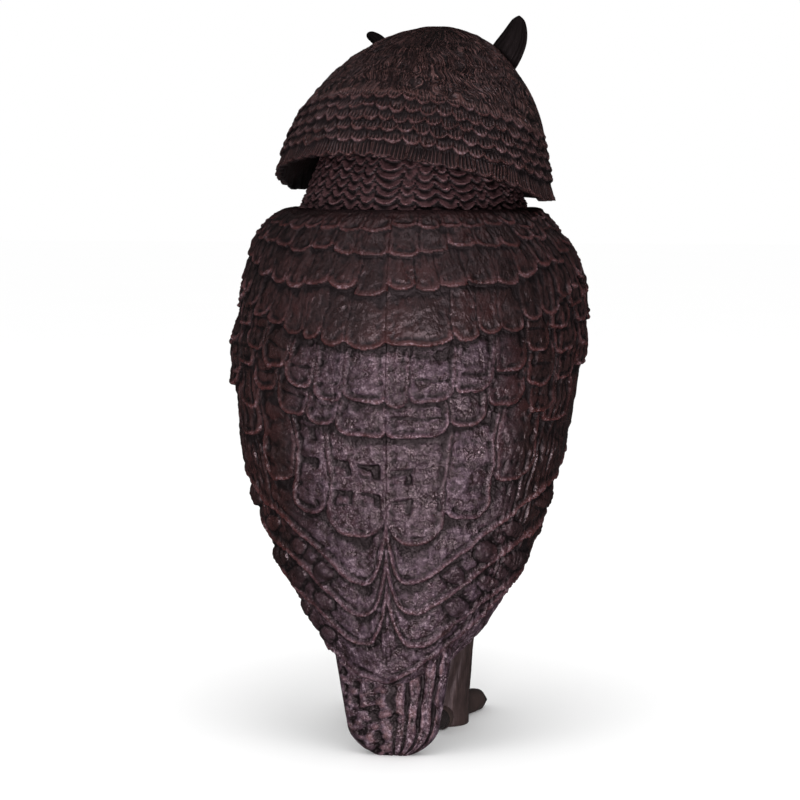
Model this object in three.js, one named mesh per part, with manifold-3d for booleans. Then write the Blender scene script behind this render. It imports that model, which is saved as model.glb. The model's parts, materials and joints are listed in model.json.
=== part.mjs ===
// Horned owl decoy with a turning head, seen from behind in the photograph.
// Millimetres, +Z up. The owl looks along +Y, so its back faces -Y, and it stands on z = 0
// on the soles of its feet and a flat spot at the tip of its tail.
// Two pieces: the body, with neck, tail and legs in one moulding, and the hollow head shell,
// open below, that turns on a peg at the top of the neck.
import * as THREE from "three";
import { mergeVertices } from "three/addons/utils/BufferGeometryUtils.js";
import Module from "manifold-3d";

const wasm = await Module();
wasm.setup();

// Driving sizes of the body
const SEAM_Z = 331; // where the neck meets the shoulders
const WIDEST_Z = 250; // level of the widest part of the body
const KEEL_Z = 46; // lowest point of the body, at the root of the tail
const HALF_WIDTH = 108.5; // of the plain body under the feathers, at its widest
const BACK = 95; // from the body's own axis to the plain back, at the widest level
const BREAST = 98; // and to the breast
const KEEL_BACK = 84; // from the body's axis back to its lowest point
const FOLD_TOP_Z = 262; // between these levels the line where the body is widest
const FOLD_LOW_Z = 192; // moves back, because the folded wings close in on the back
const FOLD_BACK = 42; // and by how much
const SHOULDER_Z = 317; // the right shoulder is a little narrower here
const SHOULDER_EASE = 0.055;
const SIDE_EASE = 0.013; // as is the right side where the body is widest
const FLANK_Z = 280; // and the left flank here
const FLANK_EASE = 0.04;
const WING_EDGE_DEG = 106; // front edge of the folded wings, counted round from the spine
const WING_LIFT = 2.5; // how far the wings stand proud of the breast

// Driving sizes of the neck, and of the peg that the head turns on
const NECK_FORWARD = 14; // turning axis, ahead of the body's own axis
const NECK_BASE_R = 72;
const NECK_TOP_R = 54;
const NECK_TOP_Z = 374;
const PEG_R = 12;
const PEG_LENGTH = 44;
const PEG_GAP = 0.8; // all round between peg and socket
const SEAT_GAP = 0.4; // between the peg's end and the socket's floor

// Driving sizes of the tail, the legs and the toes
const TAIL_HALF_WIDTH = 25.5;
const TAIL_FLARE = 0.17; // added half width for each millimetre of height
const TAIL_TIP_HEIGHT = 17; // height of the rounded tip
const TAIL_TIP_FLAT = 0.45; // half width of the flat spot as a share of the tail's
const TAIL_TOP_Z = 84;
const TAIL_BACK = 79; // from the body's axis to the back of the tail
const TAIL_THICKNESS = 19;
const TAIL_STEPS = [[-13.5, 6.5, 31], [0, 8, 25.5]]; // middle, half width and height of each end
const LEG_OUT = 22; // from the middle to each leg
const LEG_FORWARD = 10;
const LEG_TOP_R = 26;
const LEG_FOOT_R = 15;
const LEG_TOP_Z = 110;
const LEG_FOOT_Z = -1; // the soles are cut flat at the ground
const TOE_R = 8;
const TOE_LENGTH = 38;
const TOE_SPREAD_DEG = 20;
const HIND_TOE_LENGTH = 22;
const TALON_LENGTH = 13;

// Driving sizes of the head, in its own frame: +Y ahead, h = 0 at the level front of its rim
const RIM_DROP = 35; // the front of the rim hangs this far below the top of the neck
const RIM_Z = NECK_TOP_Z - RIM_DROP;
const RIM_R = 88;
const CROWN_H = 107; // from rim to crown
const CROWN_FORWARD = 32; // the crown is this far ahead of the turning axis
const CROWN_EASE = 2.3; // how late the head starts to lean forward
const DOME_FULLNESS = 2.8; // 2 would round it off like half an ellipse, and more later
const DOME_TAPER = 0.2; // how much the head narrows like a cone from rim to crown
const NAPE_RISE = 24; // the rim is cut higher at the nape
const WALL = 3;
const HEAD_TURN_DEG = 16.5; // the photograph shows the head turned to the owl's right
const HEAD_ROLL_DEG = 2.2; // and sitting a little aslant on its peg
const BOSS_R = 19;
const EAR_ROUND_DEG = 116.6; // place of the ears on the shell, counted round from the nape
const EAR_UP = 0.82; // and up, as a share of the crown's height
const EAR_ROOT = 2.2; // how deep the middle of an ear's root lies in the shell
const EAR_BASE_R = 11;
const EAR_TIP_R = 1;
const EAR_DEPTH_SHARE = 0.7;
const EAR_LENGTH = 29.5;
const EAR_LEAN_DEG = 19;
const EAR_BOW = 2.5; // how far its middle lies outwards of a straight line
const BENT_EAR_BASE_R = 4.8; // the left ear is bent outwards, edge on, and has lost its tip
const BENT_EAR_TIP_R = 2;
const BENT_EAR_DEPTH_SHARE = 1.6;
const BENT_EAR_LENGTH = 22.5;
const BENT_EAR_LEAN_DEG = 48;
const BENT_EAR_BOW = -2.5;
const EYE_OUT_DEG = 23;
const EYE_H = 58;
const EYE_R = 11.5;
const DISC_OUT_DEG = 32;
const DISC_H = 50;
const DISC_R = 37;
const DISC_DEPTH = 4.5;
const BEAK_H = 49;
const BEAK_LENGTH = 30;
const BEAK_REACH = 16.15; // how far it curves out in front of its root
const BEAK_R = 8.5;

// How finely the forms are sampled, and how many triangles each keeps after thinning
const AROUND = 240;
const BODY_ROWS = 230;
const HEAD_ROWS = 64;
const CORE_TRIANGLES = 4430;
const NECK_TRIANGLES = 430;
const TAIL_TRIANGLES = 280;
const SHELL_TRIANGLES = 2100;
const LEG_TRIANGLES = 330;
const BACK_WEIGHT = 4; // how much more carefully the back is kept than the breast

const rad = THREE.MathUtils.degToRad;
const clamp01 = (x) => Math.min(1, Math.max(0, x));
const bell = (x, width) => Math.exp(-((x / width) ** 2));

// A repeatable number between -1 and 1 that makes feathers differ a little.
function jitter(row, index) {
  const s = Math.sin(row * 12.9898 + index * 78.233) * 43758.5453;
  return 2 * (s - Math.floor(s)) - 1;
}

// Half width, front and back of the plain body at height z, and where it is widest.
function section(z) {
  const s = outline(z);
  const folded = clamp01((FOLD_TOP_Z - z) / (FOLD_TOP_Z - FOLD_LOW_Z)) ** 1.2;
  const line = (BREAST - BACK) / 2 - FOLD_BACK * folded;
  return { ...s, widest: folded > 0 ? Math.min((s.front - s.back) / 2, line) : (s.front - s.back) / 2 };
}

function outline(z) {
  if (z > WIDEST_Z) {
    const t = Math.min(1, (z - WIDEST_Z) / (SEAM_Z - WIDEST_Z));
    const round = Math.sqrt(1 - t * t);
    const mix = (top, wide) => top + (wide - top) * round;
    return {
      half: mix(NECK_BASE_R, HALF_WIDTH),
      back: mix(NECK_BASE_R - NECK_FORWARD, BACK),
      front: mix(NECK_BASE_R + NECK_FORWARD, BREAST),
    };
  }
  const s = clamp01((WIDEST_Z - z) / (WIDEST_Z - KEEL_Z));
  return {
    half: HALF_WIDTH * (1 - s ** 1.2) ** 0.45,
    back: BACK - (BACK - KEEL_BACK) * s ** 2.5,
    front: -KEEL_BACK + (BREAST + KEEL_BACK) * (1 - s ** 3) ** 0.6,
  };
}

// A point of the plain body: angle from the spine, positive to +X, and height.
function bodyPoint(angle, z) {
  const s = section(z);
  const depth = Math.cos(angle) > 0 ? s.widest + s.back : s.front - s.widest;
  const right = SHOULDER_EASE * bell(z - SHOULDER_Z, 13) + SIDE_EASE * bell(z - WIDEST_Z, 24);
  const left = FLANK_EASE * bell(z - FLANK_Z, 28);
  const narrow = 1 - (Math.sin(angle) > 0 ? right : left);
  return new THREE.Vector3(narrow * s.half * Math.sin(angle), s.widest - depth * Math.cos(angle), z);
}

// Heights of the body's rings, close together where the profile turns.
function bodyLevels(count) {
  const levels = [];
  const upper = Math.round(count * 0.36);
  for (let i = 0; i < upper; i++) {
    levels.push(WIDEST_Z + (SEAM_Z - WIDEST_Z) * Math.cos((i / upper) * (Math.PI / 2)));
  }
  for (let i = 0; i < count - upper; i++) {
    const t = i / (count - upper);
    levels.push(WIDEST_Z - (WIDEST_Z - KEEL_Z) * (1 - (1 - t) ** 1.5));
  }
  return levels;
}

// Distance down the back from the seam, used as the feathers' own measure of length.
const PROFILE = bodyLevels(600);
const DOWN = [0];
for (let i = 1; i < PROFILE.length; i++) {
  const step = bodyPoint(0, PROFILE[i]).distanceTo(bodyPoint(0, PROFILE[i - 1]));
  DOWN.push(DOWN[i - 1] + step);
}
function downAt(z) {
  let i = 1;
  while (i < PROFILE.length - 1 && PROFILE[i] > z) i++;
  const t = (PROFILE[i - 1] - z) / (PROFILE[i - 1] - PROFILE[i]);
  return DOWN[i - 1] + (DOWN[i] - DOWN[i - 1]) * t;
}

// Rows of feathers from the shoulders down: height of the tips at the spine, how far the tips
// climb round the sides, the first widths on the left and right of the spine, the width of
// the others, and the thickness at the tip. The upper rows end in a wavy hem, and arch is how
// high it rises beside each tip; the lower ones have round tips. One row begins far out.
const ROWS = [
  { tip: 317, climb: 8, left: [17, 13], right: [16, 14], width: 14, thick: 2.1, arch: 2.4 },
  { tip: 304, climb: 15, left: [21, 13, 15], right: [19, 17], width: 16, thick: 2.5, arch: 2.4 },
  { tip: 282, climb: 26, left: [18, 17, 15], right: [16, 13, 16], width: 16, thick: 2.8, arch: 2.4 },
  { tip: 250, climb: 44, left: [23, 15, 13], right: [36, 15, 14], width: 15, thick: 3, arch: 4.2 },
  { tip: 216, climb: 80, left: [26, 18, 17], right: [14, 26, 21], width: 19, thick: 3.1, round: 8 },
  { tip: 197, climb: 80, left: [29, 19, 19], right: [35, 23, 22], width: 21, thick: 3.1, round: 9 },
  { tip: 176, climb: 84, left: [22], right: [22], width: 20, thick: 2.8, round: 8, from: 78 },
  { tip: 131, climb: 120, left: [36, 19, 20], right: [33, 25, 25], width: 22, thick: 3.2, round: 13 },
].map((row, index) => {
  const s = section(row.tip);
  const arc = (s.half + (s.front + s.back) / 2) / 2;
  const down = downAt(row.tip);
  return { ...row, index, arc, down };
});

const FAN_LEFT = 0.15; // how far the feathers lean outwards on each side
const FAN_RIGHT = 0.04;
const FAN_REACH = 30; // over this distance from the spine and above the tip

// Long wing tips below the rows: each edge leaves the spine in a round end and then sweeps up
// and out to the side. Height of each tip.
const SWEPT_TIPS = [109, 90, 71, 47];
const SWEPT_TIP_OUT = 15; // from the spine to the lowest point of each edge
const SWEPT_RISE = 27; // how far each edge climbs back up beside the spine
const HEM_POINT = 3; // the lowest edge ends in a point this far right of the spine
const HEM_LEFT = 0.37; // and climbs this much for each millimetre outwards
const HEM_RIGHT = 0.58;
const SWEEP = 0.85; // climb for each millimetre outwards
const SWEPT_THICK = 3;
const SWEPT_LENGTH = 20; // over which each tip thins out again
const BEAD_R = 6;
const BEAD_HEIGHT = 2.6;
const BEADS_OUT = [38, 54, 70, 86];

// Small feathers of the breast, below the neck and between the wings.
const BREAST_PITCH = 17;
const BREAST_WIDTH = 17;
const BREAST_THICK = 2;

const RIM_WIDTH = 1.5;
const RIM_HEIGHT = 0.8;

// Signed distance to a feather's outline, negative inside: x across from its middle, up from
// its tip, half its width and the radius of its corners.
function featherOutline(x, up, half, corner) {
  const qx = Math.abs(x) - (half - corner);
  const qy = corner - up;
  return Math.min(Math.max(qx, qy), 0) + Math.hypot(Math.max(qx, 0), Math.max(qy, 0)) - corner;
}

// The same for a feather of the upper rows, whose tip is one wave of the row's hem.
function hemOutline(x, up, half, arch) {
  return -Math.min(up - arch * Math.abs(x / half) ** 2.6, half - Math.abs(x));
}

// Height of a shingle that is thickest at its tip and has a raised rim.
function shingle(outline, up, length, thick) {
  return thick * (1 - clamp01(up / length)) + RIM_HEIGHT * bell(outline + RIM_WIDTH, RIM_WIDTH);
}

// The feather of one row that covers a place, or null.
function inRow(row, angle, down) {
  const widths = angle < 0 ? row.left : row.right;
  const flat = Math.abs(angle) * row.arc;
  const above = row.down - row.climb * (1 - Math.cos(angle)) - down;
  const fan = (angle < 0 ? FAN_LEFT : FAN_RIGHT) * clamp01(flat / FAN_REACH);
  const across = flat + fan * Math.min(FAN_REACH, Math.max(0, above));
  let start = 0;
  let i = 0;
  let width = widths[0];
  while (across >= start + width) {
    start += width;
    i++;
    width = i < widths.length ? widths[i] : row.width;
  }
  const middle = start + width / 2;
  if (middle < (row.from ?? 0)) return null;
  const lift = row.climb * (1 - Math.cos(middle / row.arc));
  const uneven = 2 * jitter(row.index + (angle < 0 ? 20 : 0), i);
  const up = row.down - lift + uneven - down;
  const x = across - middle;
  const outline = row.arch
    ? hemOutline(x, up, width / 2, row.arch)
    : featherOutline(x, up, width / 2, corner(row, x, width));
  return outline < 0 ? { outline, up } : null;
}

// The outer corner of a feather is rounder than the one towards the spine, and the two wide
// ones beside the spine in the last row are round on both sides.
function corner(row, x, width) {
  if (row.index === ROWS.length - 1 && width > 30) return 0.42 * width;
  return Math.min(x > 0 ? row.round + 1.5 : row.round / 2, width / 2);
}

// Sideways distance from the spine, carried on round the front.
function sideways(angle, z) {
  const s = section(z);
  const turn = Math.min(Math.abs(angle), Math.PI / 2);
  return s.half * Math.sin(turn) + ((s.front + s.back) / 2) * (Math.abs(angle) - turn);
}

// Lower edge of a swept wing tip, as a distance down the back, and its slope.
function sweptEdge(tip, out) {
  const past = out - SWEPT_TIP_OUT;
  if (past > 0) {
    const run = Math.hypot(past, 6);
    return { down: downAt(tip) - SWEEP * (run - 6), slope: (SWEEP * past) / run };
  }
  const near = clamp01(-past / SWEPT_TIP_OUT);
  const slope = (3.4 * SWEPT_RISE * near ** 2.4) / SWEPT_TIP_OUT;
  return { down: downAt(tip) - SWEPT_RISE * near ** 3.4, slope };
}

// The lowest edge of all hangs over the tail in one blunt point.
function lastHem(tip, side, out) {
  const slope = side < 0 ? HEM_LEFT : HEM_RIGHT;
  const past = Math.max(0, out + HEM_POINT * side);
  return { down: downAt(tip) - slope * past - 0.004 * past * past, slope };
}

// Beads between the swept edges, nearly square and in line with them.
function beads(side, out, down) {
  let height = 0;
  for (let k = 0; k + 1 < SWEPT_TIPS.length; k++) {
    BEADS_OUT.forEach((place, i) => {
      const at = place + 2.5 * jitter(k + 5 * side, i);
      const middle = (sweptEdge(SWEPT_TIPS[k], at).down + sweptEdge(SWEPT_TIPS[k + 1], at).down) / 2;
      const size = Math.hypot(1, SWEEP);
      const along = Math.abs(out - at - SWEEP * (down - middle)) / (1.1 * size);
      const across = Math.abs((out - at) * SWEEP + down - middle) / size;
      const distance = (along ** 3 + across ** 3) ** (1 / 3) / BEAD_R;
      if (distance < 1) height = BEAD_HEIGHT * Math.sqrt(1 - distance * distance);
    });
  }
  return height;
}

// Relief of the wings and back.
function wingRelief(angle, z, down) {
  for (const row of ROWS) {
    const hit = inRow(row, angle, down);
    if (hit) return shingle(hit.outline, hit.up, row.index < 7 ? 34 : 60, row.thick);
  }
  const out = sideways(angle, z);
  const side = angle < 0 ? -1 : 1;
  const spine = 1.7 * bell(out, 2.9);
  for (const tip of SWEPT_TIPS) {
    const last = tip === SWEPT_TIPS[SWEPT_TIPS.length - 1];
    const edge = last ? lastHem(tip, side, out) : sweptEdge(tip, out);
    const outline = (down - edge.down) / Math.hypot(1, edge.slope);
    if (outline > 0) continue;
    return Math.max(spine, shingle(outline, -outline, SWEPT_LENGTH, SWEPT_THICK)) + beads(side, out, down);
  }
  return spine;
}

// Relief of the breast and belly, in staggered rows.
function breastRelief(angle, z, down) {
  const across = (Math.PI - Math.abs(angle)) * Math.sign(angle) * 100;
  const first = Math.floor(down / BREAST_PITCH);
  for (let row = first; row <= first + 1; row++) {
    const shift = row % 2 ? 0.5 : 0;
    const index = Math.round(across / BREAST_WIDTH - shift);
    const middle = (index + shift) * BREAST_WIDTH;
    const up = (row + 1) * BREAST_PITCH - 4 - down + jitter(row, index);
    const outline = featherOutline(across - middle, up, BREAST_WIDTH / 2, 7.5);
    if (outline < 0) return shingle(outline, up, BREAST_PITCH * 1.6, BREAST_THICK);
  }
  return 0;
}

// Relief of the whole body at an angle from the spine and a height.
function bodyRelief(angle, z) {
  const down = downAt(z);
  const edge = rad(WING_EDGE_DEG);
  const fade = clamp01(down / 12) * clamp01((z - KEEL_Z) / 6);
  if (Math.abs(angle) < edge) {
    const inside = (edge - Math.abs(angle)) * 100;
    const rim = RIM_HEIGHT * bell(inside - 2, 2);
    const lift = WING_LIFT * clamp01(down / 40) * clamp01((z - KEEL_Z) / 30);
    return fade * (wingRelief(angle, z, down) + rim) + lift;
  }
  return fade * breastRelief(angle, z, down);
}

// A manifold-3d solid from a three.js geometry.
function solid(geometry) {
  const bare = geometry.clone();
  bare.deleteAttribute("normal");
  bare.deleteAttribute("uv");
  const merged = mergeVertices(bare, 1e-4);
  const mesh = new wasm.Mesh({
    numProp: 3,
    vertProperties: new Float32Array(merged.attributes.position.array),
    triVerts: new Uint32Array(merged.index.array),
  });
  return new wasm.Manifold(mesh);
}

// A closed geometry from rings of points, one above the other from top to bottom, each ring
// running counter-clockwise seen from above. The ends close on their middle points.
function ringGeometry(rings) {
  const count = rings[0].length;
  const positions = rings.flat().flatMap((p) => [p.x, p.y, p.z]);
  const middle = (ring) =>
    ring.reduce((sum, p) => sum.add(p), new THREE.Vector3()).divideScalar(count);
  const top = middle(rings[0]);
  const bottom = middle(rings[rings.length - 1]);
  const topIndex = rings.length * count;
  const index = [];
  for (let r = 0; r + 1 < rings.length; r++) {
    for (let i = 0; i < count; i++) {
      const j = (i + 1) % count;
      const a = r * count + i;
      const b = r * count + j;
      index.push(a, a + count, b, b, a + count, b + count);
    }
  }
  const last = (rings.length - 1) * count;
  for (let i = 0; i < count; i++) {
    const j = (i + 1) % count;
    index.push(topIndex, i, j, topIndex + 1, last + j, last + i);
  }
  positions.push(top.x, top.y, top.z, bottom.x, bottom.y, bottom.z);
  const geometry = new THREE.BufferGeometry();
  geometry.setAttribute("position", new THREE.Float32BufferAttribute(positions, 3));
  geometry.setIndex(index);
  return geometry;
}

// Thins a closed mesh to a number of triangles. It collapses the edge that costs least, where
// the cost is the squared distance from the planes of the faces that have gone into a vertex.
// Where a place has a higher weight, more of its relief is kept.
function thin(geometry, target, weightAt = () => 1) {
  const merged = mergeVertices(geometry, 1e-4);
  const points = Array.from({ length: merged.attributes.position.count }, (_, i) =>
    new THREE.Vector3().fromBufferAttribute(merged.attributes.position, i),
  );
  const faces = [];
  for (let i = 0; i < merged.index.count; i += 3) {
    const face = [0, 1, 2].map((k) => merged.index.getX(i + k));
    if (new Set(face).size === 3) faces.push(face);
  }
  const around = points.map(() => new Set());
  const planes = points.map(() => new Float64Array(10));
  const normalOf = (a, b, c) => new THREE.Vector3().crossVectors(b.clone().sub(a), c.clone().sub(a));
  faces.forEach((face, f) => {
    const normal = normalOf(...face.map((v) => points[v]));
    const size = normal.length() || 1e-12;
    const weight = size * weightAt(points[face[0]]);
    normal.divideScalar(size);
    const { x, y, z } = normal;
    const d = -normal.dot(points[face[0]]);
    const plane = [x * x, x * y, x * z, x * d, y * y, y * z, y * d, z * z, z * d, d * d];
    for (const v of face) {
      around[v].add(f);
      plane.forEach((value, i) => (planes[v][i] += weight * value));
    }
  });
  const error = (q, p) =>
    q[0] * p.x * p.x + 2 * q[1] * p.x * p.y + 2 * q[2] * p.x * p.z + 2 * q[3] * p.x +
    q[4] * p.y * p.y + 2 * q[5] * p.y * p.z + 2 * q[6] * p.y +
    q[7] * p.z * p.z + 2 * q[8] * p.z + q[9];

  // The best meeting point of an edge: where the summed planes agree, or else one of three.
  function meeting(a, b) {
    const q = planes[a].map((value, i) => value + planes[b][i]);
    const halfway = points[a].clone().lerp(points[b], 0.5);
    const choices = [points[a].clone(), points[b].clone(), halfway];
    const m = new THREE.Matrix3().set(q[0], q[1], q[2], q[1], q[4], q[5], q[2], q[5], q[7]);
    const scale = (q[0] + q[4] + q[7]) / 3;
    if (m.determinant() > 1e-4 * scale ** 3) {
      const best = new THREE.Vector3(-q[3], -q[6], -q[8]).applyMatrix3(m.invert());
      if (best.distanceTo(halfway) < 1.5 * points[a].distanceTo(points[b])) choices.push(best);
    }
    const costs = choices.map((p) => error(q, p));
    const least = costs.indexOf(Math.min(...costs));
    return { at: choices[least], cost: costs[least] + 1e-4 * points[a].distanceToSquared(points[b]) };
  }

  // A heap of edges, cheapest first. An entry is stale once either end has changed.
  const heap = [];
  const age = new Uint32Array(points.length);
  const swap = (i, j) => ([heap[i], heap[j]] = [heap[j], heap[i]]);
  function push(a, b) {
    heap.push({ a, b, age: age[a] + age[b], ...meeting(a, b) });
    let i = heap.length - 1;
    while (i > 0 && heap[(i - 1) >> 1].cost > heap[i].cost) {
      swap(i, (i - 1) >> 1);
      i = (i - 1) >> 1;
    }
  }
  function pop() {
    const first = heap[0];
    const last = heap.pop();
    if (!heap.length) return first;
    heap[0] = last;
    let i = 0;
    for (;;) {
      let low = 2 * i + 1;
      if (low + 1 < heap.length && heap[low + 1].cost < heap[low].cost) low++;
      if (low >= heap.length || heap[low].cost >= heap[i].cost) return first;
      swap(i, low);
      i = low;
    }
  }
  const neighbours = (v) => {
    const found = new Set();
    for (const f of around[v]) for (const w of faces[f]) if (w !== v) found.add(w);
    return found;
  };
  const turnsOver = (v, other, at) => {
    for (const f of around[v]) {
      if (faces[f].includes(other)) continue;
      const before = faces[f].map((w) => points[w]);
      const after = faces[f].map((w) => (w === v ? at : points[w]));
      const now = normalOf(...after);
      if (now.normalize().dot(normalOf(...before).normalize()) < 0.25) return true;
    }
    return false;
  };
  points.forEach((_, v) => neighbours(v).forEach((w) => v < w && push(v, w)));

  let left = faces.length;
  while (left > target && heap.length) {
    const { a, b, at, age: made } = pop();
    if (made !== age[a] + age[b] || !around[a].size || !around[b].size) continue;
    const sides = neighbours(b);
    const shared = [...neighbours(a)].filter((v) => sides.has(v));
    if (shared.length !== 2 || turnsOver(a, b, at) || turnsOver(b, a, at)) continue;
    for (const f of [...around[b]]) {
      if (faces[f].includes(a)) {
        faces[f].forEach((v) => around[v].delete(f));
        faces[f] = null;
        left--;
      } else {
        faces[f] = faces[f].map((v) => (v === b ? a : v));
        around[a].add(f);
      }
    }
    around[b].clear();
    points[a].copy(at);
    planes[b].forEach((value, i) => (planes[a][i] += value));
    age[a] += 1000;
    neighbours(a).forEach((v) => push(a, v));
  }
  const kept = faces.filter((face) => face);
  const used = [...new Set(kept.flat())];
  const place = new Map(used.map((v, i) => [v, i]));
  const positions = used.flatMap((v) => points[v].toArray());
  const thinned = new THREE.BufferGeometry();
  thinned.setAttribute("position", new THREE.Float32BufferAttribute(positions, 3));
  thinned.setIndex(kept.flatMap((face) => face.map((v) => place.get(v))));
  return thinned;
}

// A closed tube of round sections whose centres and radii follow a function of 0 to 1. The
// section lies across the local path and can be flattened fore and aft.
function taper(centre, radius, sides, steps, flatten = 1) {
  const rings = [];
  for (let r = 0; r <= steps; r++) {
    const t = r / steps;
    const here = centre(t);
    const along = centre(Math.min(1, t + 0.01)).sub(centre(Math.max(0, t - 0.01))).normalize();
    const turn = new THREE.Quaternion().setFromUnitVectors(new THREE.Vector3(0, 0, -1), along);
    const ring = [];
    for (let i = 0; i < sides; i++) {
      const a = (i / sides) * 2 * Math.PI;
      const spot = new THREE.Vector3(Math.cos(a), flatten * Math.sin(a), 0);
      ring.push(spot.multiplyScalar(radius(t)).applyQuaternion(turn).add(here));
    }
    rings.push(ring);
  }
  return solid(ringGeometry(rings));
}

// A three.js geometry from a manifold-3d solid.
function geometryOf(manifold) {
  const data = manifold.getMesh();
  const points = new Float32Array(data.numVert * 3);
  for (let i = 0; i < data.numVert; i++) {
    points.set(data.vertProperties.subarray(i * data.numProp, i * data.numProp + 3), i * 3);
  }
  const geometry = new THREE.BufferGeometry();
  geometry.setAttribute("position", new THREE.BufferAttribute(points, 3));
  geometry.setIndex(new THREE.BufferAttribute(new Uint32Array(data.triVerts), 1));
  return geometry;
}

// The feathered body without neck, tail and legs.
function bodyCore() {
  const rings = bodyLevels(BODY_ROWS).map((z) => {
    const ring = [];
    for (let i = 0; i < AROUND; i++) {
      const angle = ((i + 0.5) / AROUND) * 2 * Math.PI - Math.PI;
      const here = bodyPoint(angle, z);
      const round = bodyPoint(angle + 0.01, z).sub(bodyPoint(angle - 0.01, z));
      const above = Math.min(SEAM_Z - 0.01, z + 0.5);
      const below = Math.max(KEEL_Z + 0.01, z - 0.5);
      const up = bodyPoint(angle, above).sub(bodyPoint(angle, below));
      const normal = round.cross(up).normalize();
      ring.push(here.addScaledVector(normal, bodyRelief(angle, z)));
    }
    return ring;
  });
  const weightAt = (p) => (p.y < 0 ? BACK_WEIGHT : 1);
  return solid(thin(ringGeometry(rings), CORE_TRIANGLES, weightAt));
}

// The neck: a cone with columns of U-shaped feathers, and the peg that the head turns on.
const NECK_COLUMNS = 22;
const NECK_PITCH = 8;
function neck() {
  const lowest = SEAM_Z - 14;
  const steps = 72;
  const rings = [];
  for (let r = 0; r <= steps; r++) {
    const z = NECK_TOP_Z - ((NECK_TOP_Z - lowest) * r) / steps;
    const share = (NECK_TOP_Z - z) / (NECK_TOP_Z - SEAM_Z);
    const plain = NECK_TOP_R + (NECK_BASE_R - NECK_TOP_R) * share;
    const ring = [];
    for (let i = 0; i < 176; i++) {
      const angle = (i / 176) * 2 * Math.PI;
      const column = (((angle / (2 * Math.PI)) * NECK_COLUMNS) % 1) * 2 - 1;
      const level = (NECK_TOP_Z - z) / NECK_PITCH + 0.35 * column * column;
      const scallop = z > SEAM_Z - 2 ? 1.3 * (level - Math.floor(level)) : 0;
      const r1 = plain + scallop - 0.6;
      ring.push(new THREE.Vector3(r1 * Math.cos(angle), NECK_FORWARD + r1 * Math.sin(angle), z));
    }
    rings.push(ring);
  }
  const peg = new THREE.CylinderGeometry(PEG_R, PEG_R, PEG_LENGTH + 4, 32);
  peg.rotateX(Math.PI / 2);
  peg.translate(0, NECK_FORWARD, NECK_TOP_Z + PEG_LENGTH / 2 - 2);
  return solid(thin(ringGeometry(rings), NECK_TRIANGLES)).add(solid(peg));
}

// Relief of the tail's back: grooves on the right that draw together at the tip, and on the
// left the blunt ends of two feathers. share is the place across, from -1 to 1.
function tailRelief(x, share, z) {
  const nearest = ((share - 0.06 + 0.125 + 1) % 0.25) - 0.125;
  const groove = share > 0 ? -1.5 * bell(nearest, 0.05) : 0;
  let step = 0;
  for (const [middle, reach, end] of TAIL_STEPS) {
    const past = z - end - 0.25 * (x - middle);
    const within = clamp01((reach - Math.abs(x - middle)) / 1.5);
    step += 1.8 * within * clamp01(past / 0.8) * clamp01(1 - past / 30);
  }
  return groove + step;
}

// The tail: a flat blade with ribs down its right side, and a rounded tip with a flat spot.
function tail() {
  const steps = 40;
  const rings = [];
  for (let r = 0; r <= steps; r++) {
    const z = TAIL_TOP_Z * (1 - r / steps);
    const drop = clamp01((TAIL_TIP_HEIGHT - z) / TAIL_TIP_HEIGHT);
    const tip = Math.sqrt(1 - drop * drop * (1 - TAIL_TIP_FLAT ** 2));
    const half = (TAIL_HALF_WIDTH + TAIL_FLARE * z) * tip;
    const thick = (TAIL_THICKNESS / 2) * (0.35 + 0.65 * tip);
    const ring = [];
    for (let i = 0; i < 96; i++) {
      const angle = (i / 96) * 2 * Math.PI;
      const c = Math.cos(angle);
      const s = Math.sin(angle);
      const x = half * Math.sign(c) * Math.abs(c) ** 0.75;
      const y = thick * Math.sign(s) * Math.abs(s) ** 0.75;
      const relief = s < 0 ? tailRelief(x, x / half, z) * Math.min(1, -s * 2) : 0;
      ring.push(new THREE.Vector3(x, -TAIL_BACK + TAIL_THICKNESS / 2 + y - relief, z));
    }
    rings.push(ring);
  }
  return solid(thin(ringGeometry(rings), TAIL_TRIANGLES));
}

// One feathered leg with three toes ahead and one behind, each with a talon. The soles are
// flat on the ground.
function leg(side) {
  const foot = new THREE.Vector3(side * LEG_OUT, LEG_FORWARD, LEG_FOOT_Z);
  const hip = new THREE.Vector3(side * LEG_OUT, LEG_FORWARD - 4, LEG_TOP_Z);
  let made = taper(
    (t) => hip.clone().lerp(foot, t),
    (t) => LEG_TOP_R + (LEG_FOOT_R - LEG_TOP_R) * Math.sin((t * Math.PI) / 2),
    16,
    5,
  );
  for (const spread of [-TOE_SPREAD_DEG, 0, TOE_SPREAD_DEG, 180]) {
    const heading = rad(90 - spread + side * -4);
    const length = spread === 180 ? HIND_TOE_LENGTH : TOE_LENGTH;
    const ahead = new THREE.Vector3(Math.cos(heading), Math.sin(heading), 0);
    const reach = length + TALON_LENGTH;
    const dip = (t) => TOE_R - 1 - 3.5 * clamp01(t * 3 - 2);
    const radius = (t) => {
      if (t * reach < length) return TOE_R * (1 - 0.12 * t) + 0.3;
      return TOE_R * 0.8 * (1.02 - t) * (reach / TALON_LENGTH) + 0.3;
    };
    const toe = taper((t) => foot.clone().addScaledVector(ahead, t * reach).setZ(dip(t)), radius, 8, 6);
    made = made.add(toe);
  }
  return solid(thin(geometryOf(made), LEG_TRIANGLES));
}

function body() {
  const parts = [bodyCore(), neck(), tail(), leg(-1), leg(1)];
  const joined = parts.reduce((sum, part) => sum.add(part));
  const ground = new THREE.BoxGeometry(600, 600, 50);
  ground.translate(0, 0, -25);
  return joined.subtract(solid(ground));
}

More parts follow.
